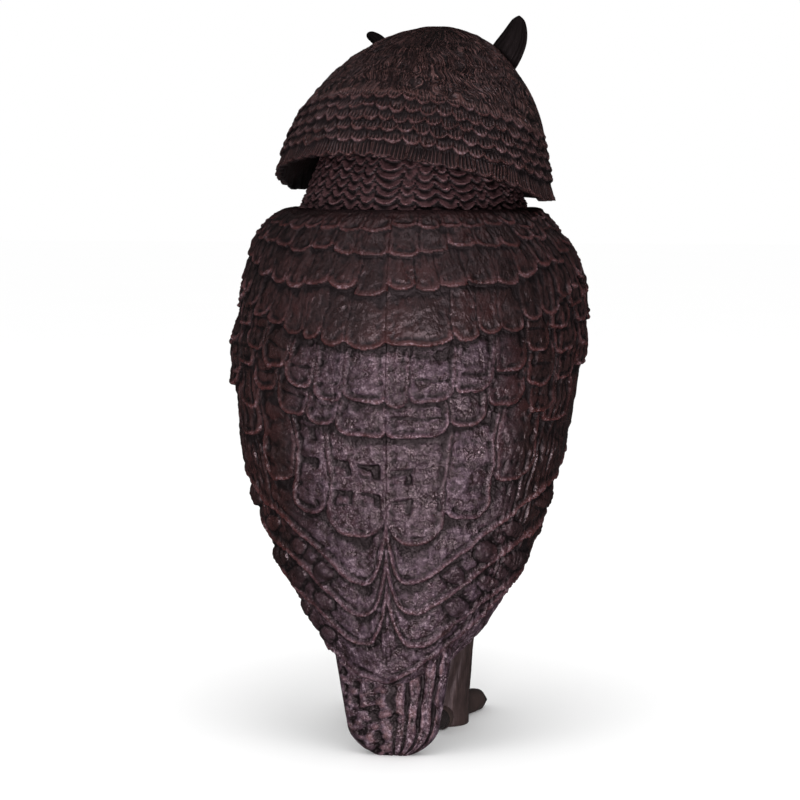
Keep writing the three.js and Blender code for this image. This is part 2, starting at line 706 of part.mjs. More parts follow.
// Radius and forward shift of the plain head at height h over its rim.
function headSection(h, inset) {
  const height = CROWN_H - inset;
  const share = clamp01(h / height);
  const up = Math.max(0, h) / CROWN_H;
  return {
    r: (RIM_R - inset) * (1 - DOME_TAPER * up) * Math.sqrt(1 - share ** DOME_FULLNESS),
    forward: CROWN_FORWARD * up ** CROWN_EASE,
  };
}

function headPoint(angle, h, inset) {
  const s = headSection(h, inset);
  return new THREE.Vector3(s.r * Math.sin(angle), s.forward - s.r * Math.cos(angle), h);
}

const nape = (angle) => Math.max(0, Math.cos(angle));
const rimHeight = (angle) => NAPE_RISE * nape(angle);

// Rows of scallops round the back and sides of the head, and the longer fringe at the rim.
const SCALLOPS_AROUND = 50;
const SCALLOP_ROWS = 5;
const SCALLOP_THICK = 1.7;
function scallopRelief(angle, h) {
  const turn = (angle / (2 * Math.PI)) * SCALLOPS_AROUND;
  const tipOf = (row) => {
    if (row < 0) return rimHeight(angle) - 1;
    return 12.5 + 20 * nape(angle) + 6.5 * row;
  };
  for (let row = SCALLOP_ROWS - 1; row >= -1; row--) {
    const shift = (row % 2 ? 0.5 : 0) + 0.13 * row;
    const index = Math.round(turn - shift);
    const across = turn - shift - index;
    const tip = tipOf(row) + 2.6 * Math.abs(2 * across) ** 2.6 + 0.8 * jitter(row + 40, index);
    if (h > tip) return SCALLOP_THICK * (1 - clamp01((h - tip) / 13));
  }
  return 0;
}

// How far a place on the face has sunk into one of the two dished discs.
const ARC = 0.87 * RIM_R; // rough radius of the face's curve
const faceShare = (angle) => clamp01((rad(74) - (Math.PI - Math.abs(angle))) / rad(8));
function fromDiscMiddle(angle, h) {
  const aside = (Math.PI - Math.abs(angle) - rad(DISC_OUT_DEG)) * ARC;
  return Math.hypot(aside, h - DISC_H);
}
function dish(angle, h) {
  const distance = fromDiscMiddle(angle, h);
  return distance < DISC_R ? -DISC_DEPTH * (1 - (distance / DISC_R) ** 2) * faceShare(angle) : 0;
}

// Relief of the face: the dished discs with rims, and brows that run up to the ears.
function faceRelief(angle, h) {
  const aside = (Math.PI - Math.abs(angle)) * ARC;
  const rim = 2.4 * bell(fromDiscMiddle(angle, h) - DISC_R, 3);
  const brow = 3.2 * bell(h - (66 + 0.5 * aside), 4.5) * clamp01(1 - aside / 62);
  return (rim + brow) * clamp01(h / 8);
}

function headRelief(angle, h) {
  const face = faceShare(angle);
  return scallopRelief(angle, h) * (1 - face) + faceRelief(angle, h) * face + dish(angle, h);
}

// A point of the head's surface or of one inside it, moved out by an amount.
function raisedHeadPoint(angle, h, inset, amount) {
  const round = headPoint(angle + 0.01, h, 0).sub(headPoint(angle - 0.01, h, 0));
  const above = Math.min(CROWN_H - 0.001, h + 0.3);
  const up = headPoint(angle, above, 0).sub(headPoint(angle, h - 0.3, 0));
  return headPoint(angle, h, inset).addScaledVector(round.cross(up).normalize(), amount);
}

// The rim's lower edge is scalloped in step with the fringe.
function rimNotch(angle) {
  const fromFace = Math.PI - Math.abs(angle);
  const turn = (angle / (2 * Math.PI)) * SCALLOPS_AROUND - 0.5;
  return fromFace > rad(70) ? 1.6 * (2 * (turn - Math.round(turn))) ** 2 : 0;
}

// Rings of one surface of the shell, from the crown down to the rim.
function headRings(rows, around, inset, reliefAt) {
  const top = CROWN_H - inset;
  const rings = [];
  for (let r = 0; r < rows; r++) {
    const climb = Math.sin((1 - (r + 0.4) / (rows - 0.6)) * (Math.PI / 2));
    const ring = [];
    for (let i = 0; i < around; i++) {
      const angle = ((i + 0.5) / around) * 2 * Math.PI - Math.PI;
      const low = rimHeight(angle) + rimNotch(angle);
      const h = low + (top - low) * climb;
      ring.push(raisedHeadPoint(angle, h, inset, reliefAt(angle, h)));
    }
    rings.push(ring);
  }
  return rings;
}

// The shell: an outer surface with relief, a plain inner one, and the rim between them.
function headShell() {
  const outer = headRings(HEAD_ROWS, AROUND, 0, headRelief);
  const inner = headRings(30, AROUND, WALL, dish);
  return solid(thin(ringGeometry([...outer, ...inner.reverse()]), SHELL_TRIANGLES));
}

// The space inside the shell and half its wall, so that what is joined on bites into the wall.
function headFilled() {
  return solid(ringGeometry(headRings(30, 96, WALL / 2, dish)));
}

// An ear tuft, a flattened leaf that is widest at its root.
function ear(side, length, leanDegrees, bowed, baseRadius, tipRadius, depthShare) {
  const lean = rad(leanDegrees);
  const foot = headPoint(side * rad(EAR_ROUND_DEG), EAR_UP * CROWN_H, EAR_ROOT);
  const along = new THREE.Vector3(side * Math.sin(lean), 0.06, Math.cos(lean));
  const bow = new THREE.Vector3(side * Math.cos(lean), 0, -Math.sin(lean));
  const spot = (t) => foot.clone().addScaledVector(along, (1 - t) * length);
  return taper(
    (t) => spot(t).addScaledVector(bow, bowed * Math.sin(t * Math.PI)),
    (t) => tipRadius + (baseRadius - tipRadius) * (1 - (1 - t) ** 1.7) ** 0.6,
    12,
    7,
    depthShare,
  );
}

function eye(side) {
  const angle = Math.PI - side * rad(EYE_OUT_DEG);
  const ball = new THREE.SphereGeometry(EYE_R, 16, 10);
  const spot = headPoint(angle, EYE_H, EYE_R * 0.85);
  ball.translate(spot.x, spot.y, spot.z);
  return solid(ball);
}

function beak() {
  const root = headPoint(Math.PI, BEAK_H + 6, 3);
  return taper(
    (t) => new THREE.Vector3(0, root.y + BEAK_REACH * Math.sin(t * 2.2), root.z - BEAK_LENGTH * t ** 1.3),
    (t) => BEAK_R * (1.02 - t) ** 0.6 + 0.4,
    10,
    6,
  );
}

// The socket that hangs from the inside of the crown and turns on the peg. It stays upright
// on the turning axis while the shell around it sits aslant.
function socket(shellTurn) {
  const floorZ = NECK_TOP_Z + PEG_LENGTH + SEAT_GAP;
  const mouthZ = floorZ - 22;
  const crown = headPoint(0, CROWN_H * 0.95, WALL).z + RIM_Z;
  const outer = new THREE.CylinderGeometry(BOSS_R, BOSS_R, crown - mouthZ, 32);
  outer.rotateX(Math.PI / 2);
  outer.translate(0, 0, (crown + mouthZ) / 2);
  const hole = new THREE.CylinderGeometry(PEG_R + PEG_GAP, PEG_R + PEG_GAP, 30, 32);
  hole.rotateX(Math.PI / 2);
  hole.translate(0, 0, floorZ - 15);
  return { outer: solid(outer).intersect(shellTurn), hole: solid(hole) };
}

function head() {
  const shell = headShell();
  const filled = headFilled();
  const features = [
    ear(1, EAR_LENGTH, EAR_LEAN_DEG, EAR_BOW, EAR_BASE_R, EAR_TIP_R, EAR_DEPTH_SHARE),
    ear(
      -1,
      BENT_EAR_LENGTH,
      BENT_EAR_LEAN_DEG,
      BENT_EAR_BOW,
      BENT_EAR_BASE_R,
      BENT_EAR_TIP_R,
      BENT_EAR_DEPTH_SHARE,
    ),
    eye(-1),
    eye(1),
    beak(),
  ].map((part) => part.subtract(filled));
  const joined = features.reduce((sum, part) => sum.add(part), shell);
  const place = new THREE.Matrix4()
    .makeRotationZ(-rad(HEAD_TURN_DEG))
    .multiply(new THREE.Matrix4().makeTranslation(0, 0, RIM_Z))
    .multiply(new THREE.Matrix4().makeRotationY(rad(HEAD_ROLL_DEG)));
  const aslant = joined.transform(place.elements);
  const inside = filled.transform(place.elements);
  const { outer, hole } = socket(inside);
  const placed = aslant.add(outer).subtract(hole);
  return placed.translate([0, NECK_FORWARD, 0]);
}

// A named mesh in its own material.
function mesh(name, manifold, color, roughness) {
  const material = new THREE.MeshStandardMaterial({ color, roughness, metalness: 0 });
  const made = new THREE.Mesh(geometryOf(manifold), material);
  made.name = name;
  return made;
}

const owl = new THREE.Group();
owl.add(mesh("body", body(), 0x33221f, 0.45));
owl.add(mesh("head", head(), 0x2c1f1c, 0.5));

// The frame's origin is the middle of the whole owl's footprint, to a tenth of a millimetre.
const box = new THREE.Box3().setFromObject(owl);
const middle = box.getCenter(new THREE.Vector3());
owl.position.set(0, -Math.round(middle.y * 10) / 10, 0);

export default owl;
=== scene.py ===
import json
from math import atan, cos, hypot, pi, radians, sin, sqrt

import bpy
import numpy as np
from mathutils import Matrix, Vector


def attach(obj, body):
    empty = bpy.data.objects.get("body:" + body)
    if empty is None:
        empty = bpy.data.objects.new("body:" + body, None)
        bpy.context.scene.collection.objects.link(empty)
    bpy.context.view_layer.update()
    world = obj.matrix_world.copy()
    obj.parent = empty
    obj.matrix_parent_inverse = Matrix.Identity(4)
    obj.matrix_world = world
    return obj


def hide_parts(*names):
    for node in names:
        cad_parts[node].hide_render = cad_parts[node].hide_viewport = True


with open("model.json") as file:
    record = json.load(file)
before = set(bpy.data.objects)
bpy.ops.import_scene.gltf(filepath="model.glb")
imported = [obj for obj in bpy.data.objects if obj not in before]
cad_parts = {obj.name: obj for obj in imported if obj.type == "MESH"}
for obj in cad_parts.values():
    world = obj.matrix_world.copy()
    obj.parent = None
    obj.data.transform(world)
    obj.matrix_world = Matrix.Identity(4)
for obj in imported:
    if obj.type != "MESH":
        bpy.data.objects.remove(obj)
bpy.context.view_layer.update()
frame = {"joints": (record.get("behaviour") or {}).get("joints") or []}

# Driving sizes, the same as those of the solids
SEAM_Z, WIDEST_Z, KEEL_Z = 331, 250, 46
HALF_WIDTH, BACK, BREAST, KEEL_BACK = 108.5, 95, 98, 84
FOLD_TOP_Z, FOLD_LOW_Z, FOLD_BACK = 262, 192, 42
SHOULDER_Z, SHOULDER_EASE, SIDE_EASE = 317, 0.055, 0.013
FLANK_Z, FLANK_EASE = 280, 0.04
WING_EDGE_DEG, WING_LIFT = 106, 2.5
NECK_FORWARD, NECK_BASE_R, NECK_TOP_R, NECK_TOP_Z = 14, 72, 54, 374
PEG_R, PEG_LENGTH, PEG_GAP, SEAT_GAP = 12, 44, 0.8, 0.4
TAIL_HALF_WIDTH, TAIL_FLARE, TAIL_TIP_HEIGHT, TAIL_TIP_FLAT = 25.5, 0.17, 17, 0.45
TAIL_TOP_Z, TAIL_BACK, TAIL_THICKNESS = 84, 79, 19
LEG_OUT, LEG_FORWARD, LEG_TOP_R, LEG_FOOT_R = 22, 10, 26, 15
LEG_TOP_Z = 110
TOE_R, TOE_LENGTH, TOE_SPREAD_DEG, HIND_TOE_LENGTH, TALON_LENGTH = 8, 38, 20, 22, 13
RIM_Z, RIM_R, CROWN_H, CROWN_FORWARD, CROWN_EASE = 339, 88, 107, 32, 2.3
DOME_FULLNESS, DOME_TAPER = 2.8, 0.2
NAPE_RISE, WALL, HEAD_TURN_DEG, HEAD_ROLL_DEG, BOSS_R = 24, 3, 16.5, 2.2, 19
EAR_ROUND_DEG, EAR_UP, EAR_ROOT = 116.6, 0.82, 2.2
EYE_OUT_DEG, EYE_H, EYE_R = 23, 58, 11.5
DISC_OUT_DEG, DISC_H, DISC_R, DISC_DEPTH = 32, 50, 37, 4.5
BEAK_H, BEAK_LENGTH, BEAK_REACH, BEAK_R = 49, 30, 16.15, 8.5

# Ears: length, lean in degrees, bow, radius at the root and at the tip, depth over width
RIGHT_EAR = (29.5, 19, 2.5, 11, 1, 0.7)
LEFT_EAR = (22.5, 48, -2.5, 4.8, 2, 1.6)  # the bent one

# Rows of feathers: height of the tips at the spine, climb round the sides, first widths left
# and right of the spine, width of the others, roundness, thickness, and where the row begins.
ROWS = [
    (317, 8, [17, 13], [16, 14], 14, 6, 2.1, 0),
    (304, 15, [21, 13, 15], [19, 17], 16, 6, 2.5, 0),
    (282, 26, [18, 17, 15], [16, 13, 16], 16, 6, 2.8, 0),
    (250, 44, [23, 15, 13], [36, 15, 14], 15, 6, 3.0, 0),
    (216, 80, [26, 18, 17], [14, 26, 21], 19, 8, 3.1, 0),
    (197, 80, [29, 19, 19], [35, 23, 22], 21, 9, 3.1, 0),
    (176, 84, [22], [22], 20, 8, 2.8, 78),
    (131, 120, [36, 19, 20], [33, 25, 25], 22, 13, 3.2, 0),
]
SWEPT_TIPS = [109, 90, 71, 47]
SWEPT_TIP_OUT, SWEEP, SWEPT_THICK = 15, 0.85, 3
BEAD_R, BEAD_HEIGHT, BEADS_OUT = 6, 2.6, [38, 54, 70, 86]
BREAST_PITCH, BREAST_WIDTH, BREAST_THICK = 17, 17, 2
SCALLOPS_AROUND, SCALLOP_ROWS, SCALLOP_THICK = 50, 5, 1.7
FIRST_SCALLOP_H, SCALLOP_CLIMB, SCALLOP_PITCH = 12.5, 20, 6.5
NECK_COLUMNS, NECK_PITCH = 36, 5.4
HEMMED_ROWS, LOBE_ROW = 4, 7  # how many upper rows have soft hems, and the row of long lobes
SWEPT_BEND, SWEPT_RISE, SWEPT_POWER = 6, 27, 3.4
BEAD_SQUARENESS = 2.4
RIB_PITCH = 2.7  # of the fine ribs on the scallops and the fringe
MAUVE_AND_SHEEN_LOW = 0.85  # how far the lower back turns greyish mauve, partly paint and partly painted sheen
GIRTH_R = 100  # rough radius of the body, which turns angles into millimetres
FAR = 40.0  # stands for a place far up from any tip
NEAR_TOP = 0.9999  # keeps the last ring of the head just short of the crown's point
TURN = 2 * pi
FACE_R = 0.87 * RIM_R  # turns angles on the face into millimetres

# Place of the body's axis in the shared frame
OWL_Y = 1000 * frame["joints"][0]["pos_m"][1] - NECK_FORWARD

# What a mesh rides on, the node it replaces and its material slot
BODY = ("body", "body", "body_plastic")
HEAD = ("head", "head", "head_plastic")


def clamp01(x):
    return np.clip(x, 0, 1)


def bell(x, width):
    return np.exp(-((x / width) ** 2))


def jitter(row, index):
    s = np.sin(row * 12.9898 + np.asarray(index) * 78.233) * 43758.5453
    return 2 * (s - np.floor(s)) - 1


def blur(grid, radius, wraps=False):
    """A grid of heights averaged over a square, twice over."""
    for _ in range(2):
        for axis in (0, 1):
            mode = "wrap" if wraps and axis == 1 else "edge"
            pad = [(0, 0), (0, 0)]
            pad[axis] = (radius + 1, radius)
            total = np.cumsum(np.pad(grid, pad, mode=mode), axis=axis)
            size, window = grid.shape[axis], 2 * radius + 1
            low = np.take(total, range(size), axis=axis)
            high = np.take(total, range(window, window + size), axis=axis)
            grid = (high - low) / window
    return grid


def lumps(points, size, seed, stretch=(1, 1, 1)):
    """Smooth repeatable unevenness between about -1 and 1, with bumps of about that size."""
    rng = np.random.default_rng(seed)
    total = 0
    for _ in range(9):
        ray = rng.normal(size=3)
        ray *= TURN / size * rng.uniform(0.6, 1.5) / np.linalg.norm(ray) / np.array(stretch)
        total = total + np.sin(points @ ray + rng.uniform(0, 7))
    return total / 3


def strokes(x, along, width, length, seed):
    """Unevenness drawn out along one direction, such as strands and combed hair."""
    flat = np.stack([x, along, 0 * x], axis=-1)
    return lumps(flat, 1, seed, (width, length, 1))


# The body's form

def section(z):
    t = clamp01((z - WIDEST_Z) / (SEAM_Z - WIDEST_Z))
    rounded = np.sqrt(1 - t * t)
    s = clamp01((WIDEST_Z - z) / (WIDEST_Z - KEEL_Z))
    above = z > WIDEST_Z
    low_half = HALF_WIDTH * (1 - s**1.2) ** 0.45
    half = np.where(above, NECK_BASE_R + (HALF_WIDTH - NECK_BASE_R) * rounded, low_half)
    top_back = NECK_BASE_R - NECK_FORWARD
    top_front = NECK_BASE_R + NECK_FORWARD
    low_back = BACK - (BACK - KEEL_BACK) * s**2.5
    back = np.where(above, top_back + (BACK - top_back) * rounded, low_back)
    low_front = -KEEL_BACK + (BREAST + KEEL_BACK) * (1 - s**3) ** 0.6
    front = np.where(above, top_front + (BREAST - top_front) * rounded, low_front)
    return half, back, front


def body_point(angle, z):
    """A point of the plain body: angle from the spine, positive to +X, and height. The folded
    wings close in on the back, so low down the body is widest further back."""
    half, back, front = section(z)
    folded = clamp01((FOLD_TOP_Z - z) / (FOLD_TOP_Z - FOLD_LOW_Z)) ** 1.2
    line = (BREAST - BACK) / 2 - FOLD_BACK * folded
    middle = (front - back) / 2
    widest = np.where(folded > 0, np.minimum(middle, line), middle)
    depth = np.where(np.cos(angle) > 0, widest + back, front - widest)
    right = SHOULDER_EASE * bell(z - SHOULDER_Z, 13) + SIDE_EASE * bell(z - WIDEST_Z, 24)
    left = FLANK_EASE * bell(z - FLANK_Z, 28)
    half = half * (1 - np.where(np.sin(angle) > 0, right, left))
    return np.stack([half * np.sin(angle), widest - depth * np.cos(angle), z + 0 * angle], axis=-1)


def body_levels(count):
    upper = round(count * 0.36)
    i = np.arange(upper)
    j = np.arange(count - upper) / (count - upper)
    high = WIDEST_Z + (SEAM_Z - WIDEST_Z) * np.cos((i / upper) * (pi / 2))
    low = WIDEST_Z - (WIDEST_Z - KEEL_Z) * (1 - (1 - j) ** 1.5)
    return np.concatenate([high, low])


PROFILE = body_levels(600)
steps = np.linalg.norm(np.diff(body_point(np.zeros(len(PROFILE)), PROFILE), axis=0), axis=1)
DOWN = np.concatenate([[0], np.cumsum(steps)])


def down_at(z):
    return np.interp(-np.asarray(z, float), -PROFILE, DOWN)


def height_at(down):
    return np.interp(down, DOWN, PROFILE)


def feather_outline(x, up, half, corner):
    qx = np.abs(x) - (half - corner)
    qy = corner - up
    past = np.hypot(np.maximum(qx, 0), np.maximum(qy, 0))
    return np.minimum(np.maximum(qx, qy), 0) + past - corner


def tip_share(up, edge):
    """1 along a feather's tip and 0 along its sides."""
    return clamp01(1 - (up - edge) / 5)


class Relief:
    """Height over the plain form and, for each place, which feather it is on and where: across
    from its middle, up from its tip, its tint, the line along its rim, the wider band inside
    that line, fine ribs, and how far the back turns a greyish mauve there, partly paint and
    partly painted sheen."""

    NAMES = ("height", "across", "up", "tint", "rim", "band", "comb", "rubbed")

    def __init__(self, shape):
        for name in self.NAMES:
            setattr(self, name, np.zeros(shape))
        self.up += FAR
        self.taken = np.zeros(shape, bool)

    def lay(self, mask, *values):
        """Sets values, in the order of NAMES, where no earlier feather lies."""
        new = mask & ~self.taken
        for name, value in zip(self.NAMES, values):
            getattr(self, name)[new] = np.broadcast_to(value, new.shape)[new]
        self.taken |= new


def vane(x, up, edge, half, thick, length, lined):
    """A feather's own surface: thick at the tip, a raised rim where lined says so, a groove
    inside it, a thin crease beside each neighbour, and a slight crown."""
    tip = tip_share(up, edge)
    height = thick * (1 - clamp01(up / length)) + (0.12 + 0.80 * lined) * bell(edge - 1.3, 1.15)
    height -= (0.05 + 0.4 * lined) * bell(edge - 3.9, 1.4) + 0.36 * (1 - tip) * bell(edge, 0.6)
    inner = clamp01((edge - 3) / 4)
    return height + 0.45 * clamp01(1 - (x / half) ** 2) * inner


def rounded_block(x, y, wide, high, corner):
    """Depth inside a block with rounded corners round the origin."""
    aside, away = np.abs(x) - wide, np.abs(y) - high
    return corner - np.hypot(np.maximum(aside, 0), np.maximum(away, 0))


def sunk_ring(side, at, x, up, lone):
    """How far a lobe is sunk round a raised block, which stands a little off the middle."""
    odd = jitter(int(at), np.sign(x) + side)
    other = jitter(int(at) + 9, np.sign(x) + 2 * side)
    from_x = side * (x - np.where(lone, 1.5, (8.2 + 0.5 * other) * np.sign(x)))
    from_y = up - at - np.where(lone, 5.0, 0.0) - (0.08 + 0.1 * odd) * x
    pit = rounded_block(from_x, from_y, 5.0 + 0.5 * odd, 3.5 + 0.5 * other, 1.6)
    block = rounded_block(from_x + 1.4 + 0.6 * odd, from_y + 1.0 + 0.6 * other, 2.6, 1.3, 1.8)
    faint = np.where(x * side > 0, 0.3, 0.8) if side > 0 else 1.0 + 0.15 * odd
    shade = 0.35 + 0.65 * clamp01(0.45 + from_x / 8 + from_y / 10)
    return (clamp01(pit / 1.5) * shade - (0.5 + 0.2 * other) * clamp01(block / 1.8)) * faint


def row_feathers(relief, number, side, angle, down):
    tip, climb, left, right, width, corner, thick, start_at = ROWS[number]
    on_left, hemmed = side < 0, number < HEMMED_ROWS
    half, back, front = (float(v) for v in section(tip))
    arc = (half + (front + back) / 2) / 2
    across = np.abs(angle) * arc
    # The feathers fan outwards a little towards their tips.
    above = np.clip(down_at(tip) - climb * (1 - np.cos(angle)) - down, 0, 30)
    across = across + (0.15 if on_left else 0.04) * above * clamp01(across / 30)
    widths = list(left if on_left else right)
    while sum(widths) < across.max() + 1:
        widths.append(width)
    starts = np.concatenate([[0], np.cumsum(widths)])
    index = np.clip(np.searchsorted(starts, across, side="right") - 1, 0, len(widths) - 1)
    own = np.array(widths, float)[index]
    middle = starts[index] + own / 2
    lift = climb * (1 - np.cos(middle / arc))
    up = down_at(tip) - lift + 2 * jitter(number + 20 * on_left, index) - down
    x = across - middle
    tint = jitter(3 * number + 50 * on_left + 7, index)
    if hemmed:
        # The upper rows end in one soft, wavy hem.
        hem = ((4.2 if number == 3 else 2.4) + 0.8 * tint) * np.abs(2 * x / own) ** 2.6
        inside = up > hem
        edge = np.minimum(up - hem, own / 2 - np.abs(x))
        lined = tip_share(up - hem, edge) * (0.75 + 0.25 * tint)
        rim = lined * bell(edge - 1.1, 1.0)
    else:
        # Lower down each feather shows its broad round outer corner.
        round_off = np.where(x > 0, corner + 1.5 + tint, 0.5 * corner)
        if number == LOBE_ROW:
            round_off = np.where(own > 30, 0.42 * own, round_off)
        outline = feather_outline(x, up, own / 2, np.minimum(round_off, own / 2))
        inside = outline < 0
        edge = -outline
        lined = np.maximum(tip_share(up, edge), np.where(x > 0, 0.5 + 0.2 * tint, 0.12))
        rim = lined * bell(edge - 1.1, 0.95)
    length = 60 if number == LOBE_ROW else 34
    height = vane(x, up, edge, own / 2, thick, length, lined) + 0.3 * bell(across, 1.2)
    band = (0.25 + 0.75 * lined) * clamp01(1 - (edge - 0.6) / (4.6 if hemmed else 2.6))
    inner = clamp01((edge - 2) / 3)
    if number == LOBE_ROW:
        # Sunk rings in pairs on the two long lobes beside the spine. The lobe next to them on
        # the left has one in each pair. The other feathers of this row have soft bands.
        lone = (index == 1) & on_left
        for at in (24.5, 43.5) if on_left else (21.5, 40):
            sunk = sunk_ring(side, at, x, up, lone)
            height -= 1.9 * sunk * np.where(lone, 0.6, own > 30)
        bands = np.sin(up * TURN / 13 + 2 * tint)
        height += 0.45 * bands * inner * (own < 30)
    elif not hemmed:
        # Across most wing feathers a narrow slot, a low swell above it and a broad dent
        at = 11 + 3 * tint
        slot_y = np.abs(up - at + 0.6 * np.sin(x / 3 + 5 * tint))
        reach = clamp01((0.40 * own - np.abs(x + 0.08 * own * tint)) / 1.2)
        slot = 0.75 * bell(slot_y, 0.9) - 0.5 * bell(up - at - 3.4, 2.4)
        height -= slot * reach * clamp01(tint * 3 + 1)
        height -= 0.6 * bell(up - at - 13, 2.6) * reach * (tint > -0.3)
    elif number == 3:
        height += 0.10 * strokes(x, up + 37 * index, 2.4, 15, 12) * inner
    else:
        fanned = up + 0.4 * np.abs(x) + 37 * index
        height += 0.14 * strokes(x, fanned, 2.3, 12, 11) * inner
    rubbed = 0.0 if hemmed else 0.75 + 0.25 * tint
    mask = inside & (middle >= start_at)
    relief.lay(mask, height, side * x, up, tint, rim, band, 0.0, rubbed)


def swept_edge(tip, out):
    """How far down the edge of a swept row lies at a distance from the spine, and its slope.
    From the tip it rises outwards in a line and towards the spine in a curve."""
    past = out - SWEPT_TIP_OUT
    run = np.hypot(past, SWEPT_BEND)
    near = clamp01(-past / SWEPT_TIP_OUT)
    base = down_at(tip)
    raised = base - SWEPT_RISE * near**SWEPT_POWER
    down = np.where(past > 0, base - SWEEP * (run - SWEPT_BEND), raised)
    slope = SWEPT_RISE * SWEPT_POWER * near ** (SWEPT_POWER - 1) / SWEPT_TIP_OUT
    return down, np.where(past > 0, SWEEP * past / run, slope)


def last_hem(side, out):
    """The lowest edge ends in one blunt point over the tail."""
    rise = 0.37 if side < 0 else 0.58
    past = np.maximum(0, out + 3 * side)
    return down_at(SWEPT_TIPS[-1]) - rise * past - 0.004 * past**2, rise + 0 * out


def wing_relief(side, angle, z, down):
    relief = Relief(angle.shape)
    for number in range(len(ROWS)):
        row_feathers(relief, number, side, angle, down)
    half, back, front = section(z)
    turn = np.minimum(np.abs(angle), pi / 2)
    out = half * np.sin(turn) + (front + back) / 2 * (np.abs(angle) - turn)
    low = clamp01((150 - z) / 14)
    spine = 1.7 * bell(out, 2.9) + low * 0.35 * np.cos(out * TURN / 2.9) * bell(out, 4.5)
    bead = np.zeros(angle.shape)
    lean = hypot(1, SWEEP)
    for row, (upper, lower) in enumerate(zip(SWEPT_TIPS, SWEPT_TIPS[1:])):
        for place, at in enumerate(BEADS_OUT):
            at = at + 2.5 * float(jitter(row + 5 * side, place))
            middle = float(swept_edge(upper, at)[0] + swept_edge(lower, at)[0]) / 2
            along = ((out - at) - SWEEP * (down - middle)) / lean
            across = ((out - at) * SWEEP + (down - middle)) / lean
            odd = float(jitter(7 * row + side, place + 3))
            squared = np.abs(along / 1.1) ** BEAD_SQUARENESS + np.abs(across) ** BEAD_SQUARENESS
            distance = squared ** (1 / BEAD_SQUARENESS) / ((0.86 + 0.12 * odd) * BEAD_R)
            ridged = 1 + 0.07 * np.cos(along * TURN / 2.6)
            dome = BEAD_HEIGHT * (0.78 + 0.3 * odd) * ridged * np.sqrt(clamp01(1 - distance**2))
            raised = dome - 0.7 * bell(distance - 1.12, 0.16)
            bead = np.where(np.abs(raised) > np.abs(bead), raised, bead)
    last = len(SWEPT_TIPS) - 1
    for k, tip in enumerate(SWEPT_TIPS):
        edge_down, slope = swept_edge(tip, out) if k < last else last_hem(side, out)
        edge = (edge_down - down) / np.hypot(1, slope)
        height = SWEPT_THICK * (1 - clamp01(edge / 20)) - 0.6 * bell(edge - 4.0, 1.4)
        height += (0.65 + 0.25 * np.sin(out / 6 + 2 * k)) * bell(edge - 1.4, 1.15)
        height = np.maximum(spine, height) + bead * clamp01(edge / 2)
        rim = bell(edge - 1.1, 1.0)
        band = clamp01(1 - (edge - 0.6) / 3.0)
        knob = clamp01(bead)
        rubbed = MAUVE_AND_SHEEN_LOW - 0.3 * knob
        tint = float(jitter(k, 90))
        relief.lay(edge > 0, height, side * out, edge, tint, rim, band, knob, rubbed)
    relief.lay(~relief.taken, spine, side * out, 20.0, 0.0, 0.0, 0.0, 0.0, MAUVE_AND_SHEEN_LOW)
    groove = 0.10 * clamp01((z - 300) / 20) + 0.25 * low
    relief.height -= groove * bell(out, 0.8)
    return relief


def breast_relief(angle, down):
    relief = Relief(angle.shape)
    across = (pi - np.abs(angle)) * np.sign(angle) * GIRTH_R
    first = np.floor(down / BREAST_PITCH)
    for row in (first, first + 1):
        shift = np.where(row % 2 == 1, 0.5, 0)
        index = np.round(across / BREAST_WIDTH - shift)
        x = across - (index + shift) * BREAST_WIDTH
        up = (row + 1) * BREAST_PITCH - 4 - down + jitter(row, index)
        edge = -feather_outline(x, up, BREAST_WIDTH / 2, 7.5)
        lined = tip_share(up, edge)
        length = BREAST_PITCH * 1.6
        height = vane(x, up, edge, BREAST_WIDTH / 2, BREAST_THICK, length, lined)
        rim = lined * bell(edge - 0.9, 1.0)
        band = lined * clamp01(1 - (edge - 0.6) / 3)
        relief.lay(edge > 0, height, x, up, jitter(row + 3, index), rim, band)
    return relief


# Meshes

def shell_normals(points):
    """Outward unit normals of a grid of points with rows going down and columns round."""
    round_step = np.gradient(points, axis=1)
    down_step = np.gradient(points, axis=0)
    normal = np.cross(down_step, round_step)
    size = np.linalg.norm(normal, axis=-1, keepdims=True)
    return normal / np.maximum(size, 1e-9)


def add_object(name, data):
    made = bpy.data.objects.new(name, data)
    bpy.context.scene.collection.objects.link(made)
    return made


def make_mesh(name, points, faces, attributes, part, material):
    """An object from points in owl millimetres and quads or triangles given as index rows."""
    body, node, slot = part
    shifted = np.array(points, float).reshape(-1, 3)
    shifted[:, 1] += OWL_Y
    mesh = bpy.data.meshes.new(name)
    loops = np.concatenate([np.asarray(f, np.int32).ravel() for f in faces])
    sizes = np.concatenate([np.full(len(f), np.asarray(f).shape[1]) for f in faces])
    starts = np.cumsum(sizes) - sizes
    mesh.vertices.add(len(shifted))
    mesh.vertices.foreach_set("co", (shifted / 1000).astype(np.float32).ravel())
    mesh.loops.add(len(loops))
    mesh.loops.foreach_set("vertex_index", loops.astype(np.int32))
    mesh.polygons.add(len(sizes))
    mesh.polygons.foreach_set("loop_start", starts.astype(np.int32))
    mesh.polygons.foreach_set("loop_total", sizes.astype(np.int32))
    mesh.polygons.foreach_set("use_smooth", np.ones(len(sizes), bool))
    mesh.update(calc_edges=True)
    mesh.validate()
    for key, values in attributes.items():
        layer = mesh.attributes.new(key, "FLOAT", "POINT")
        layer.data.foreach_set("value", np.asarray(values, np.float32).ravel())
    mesh.materials.append(material)
    made = add_object(name, mesh)
    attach(made, body)
    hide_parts(node)


def grid_faces(rows, columns, wraps=False):
    last = columns if wraps else columns - 1
    r, c = np.meshgrid(np.arange(rows - 1), np.arange(last), indexing="ij")
    a = r * columns + c
    b = r * columns + (c + 1) % columns
    return np.stack([a, a + columns, b + columns, b], axis=-1).reshape(-1, 4)


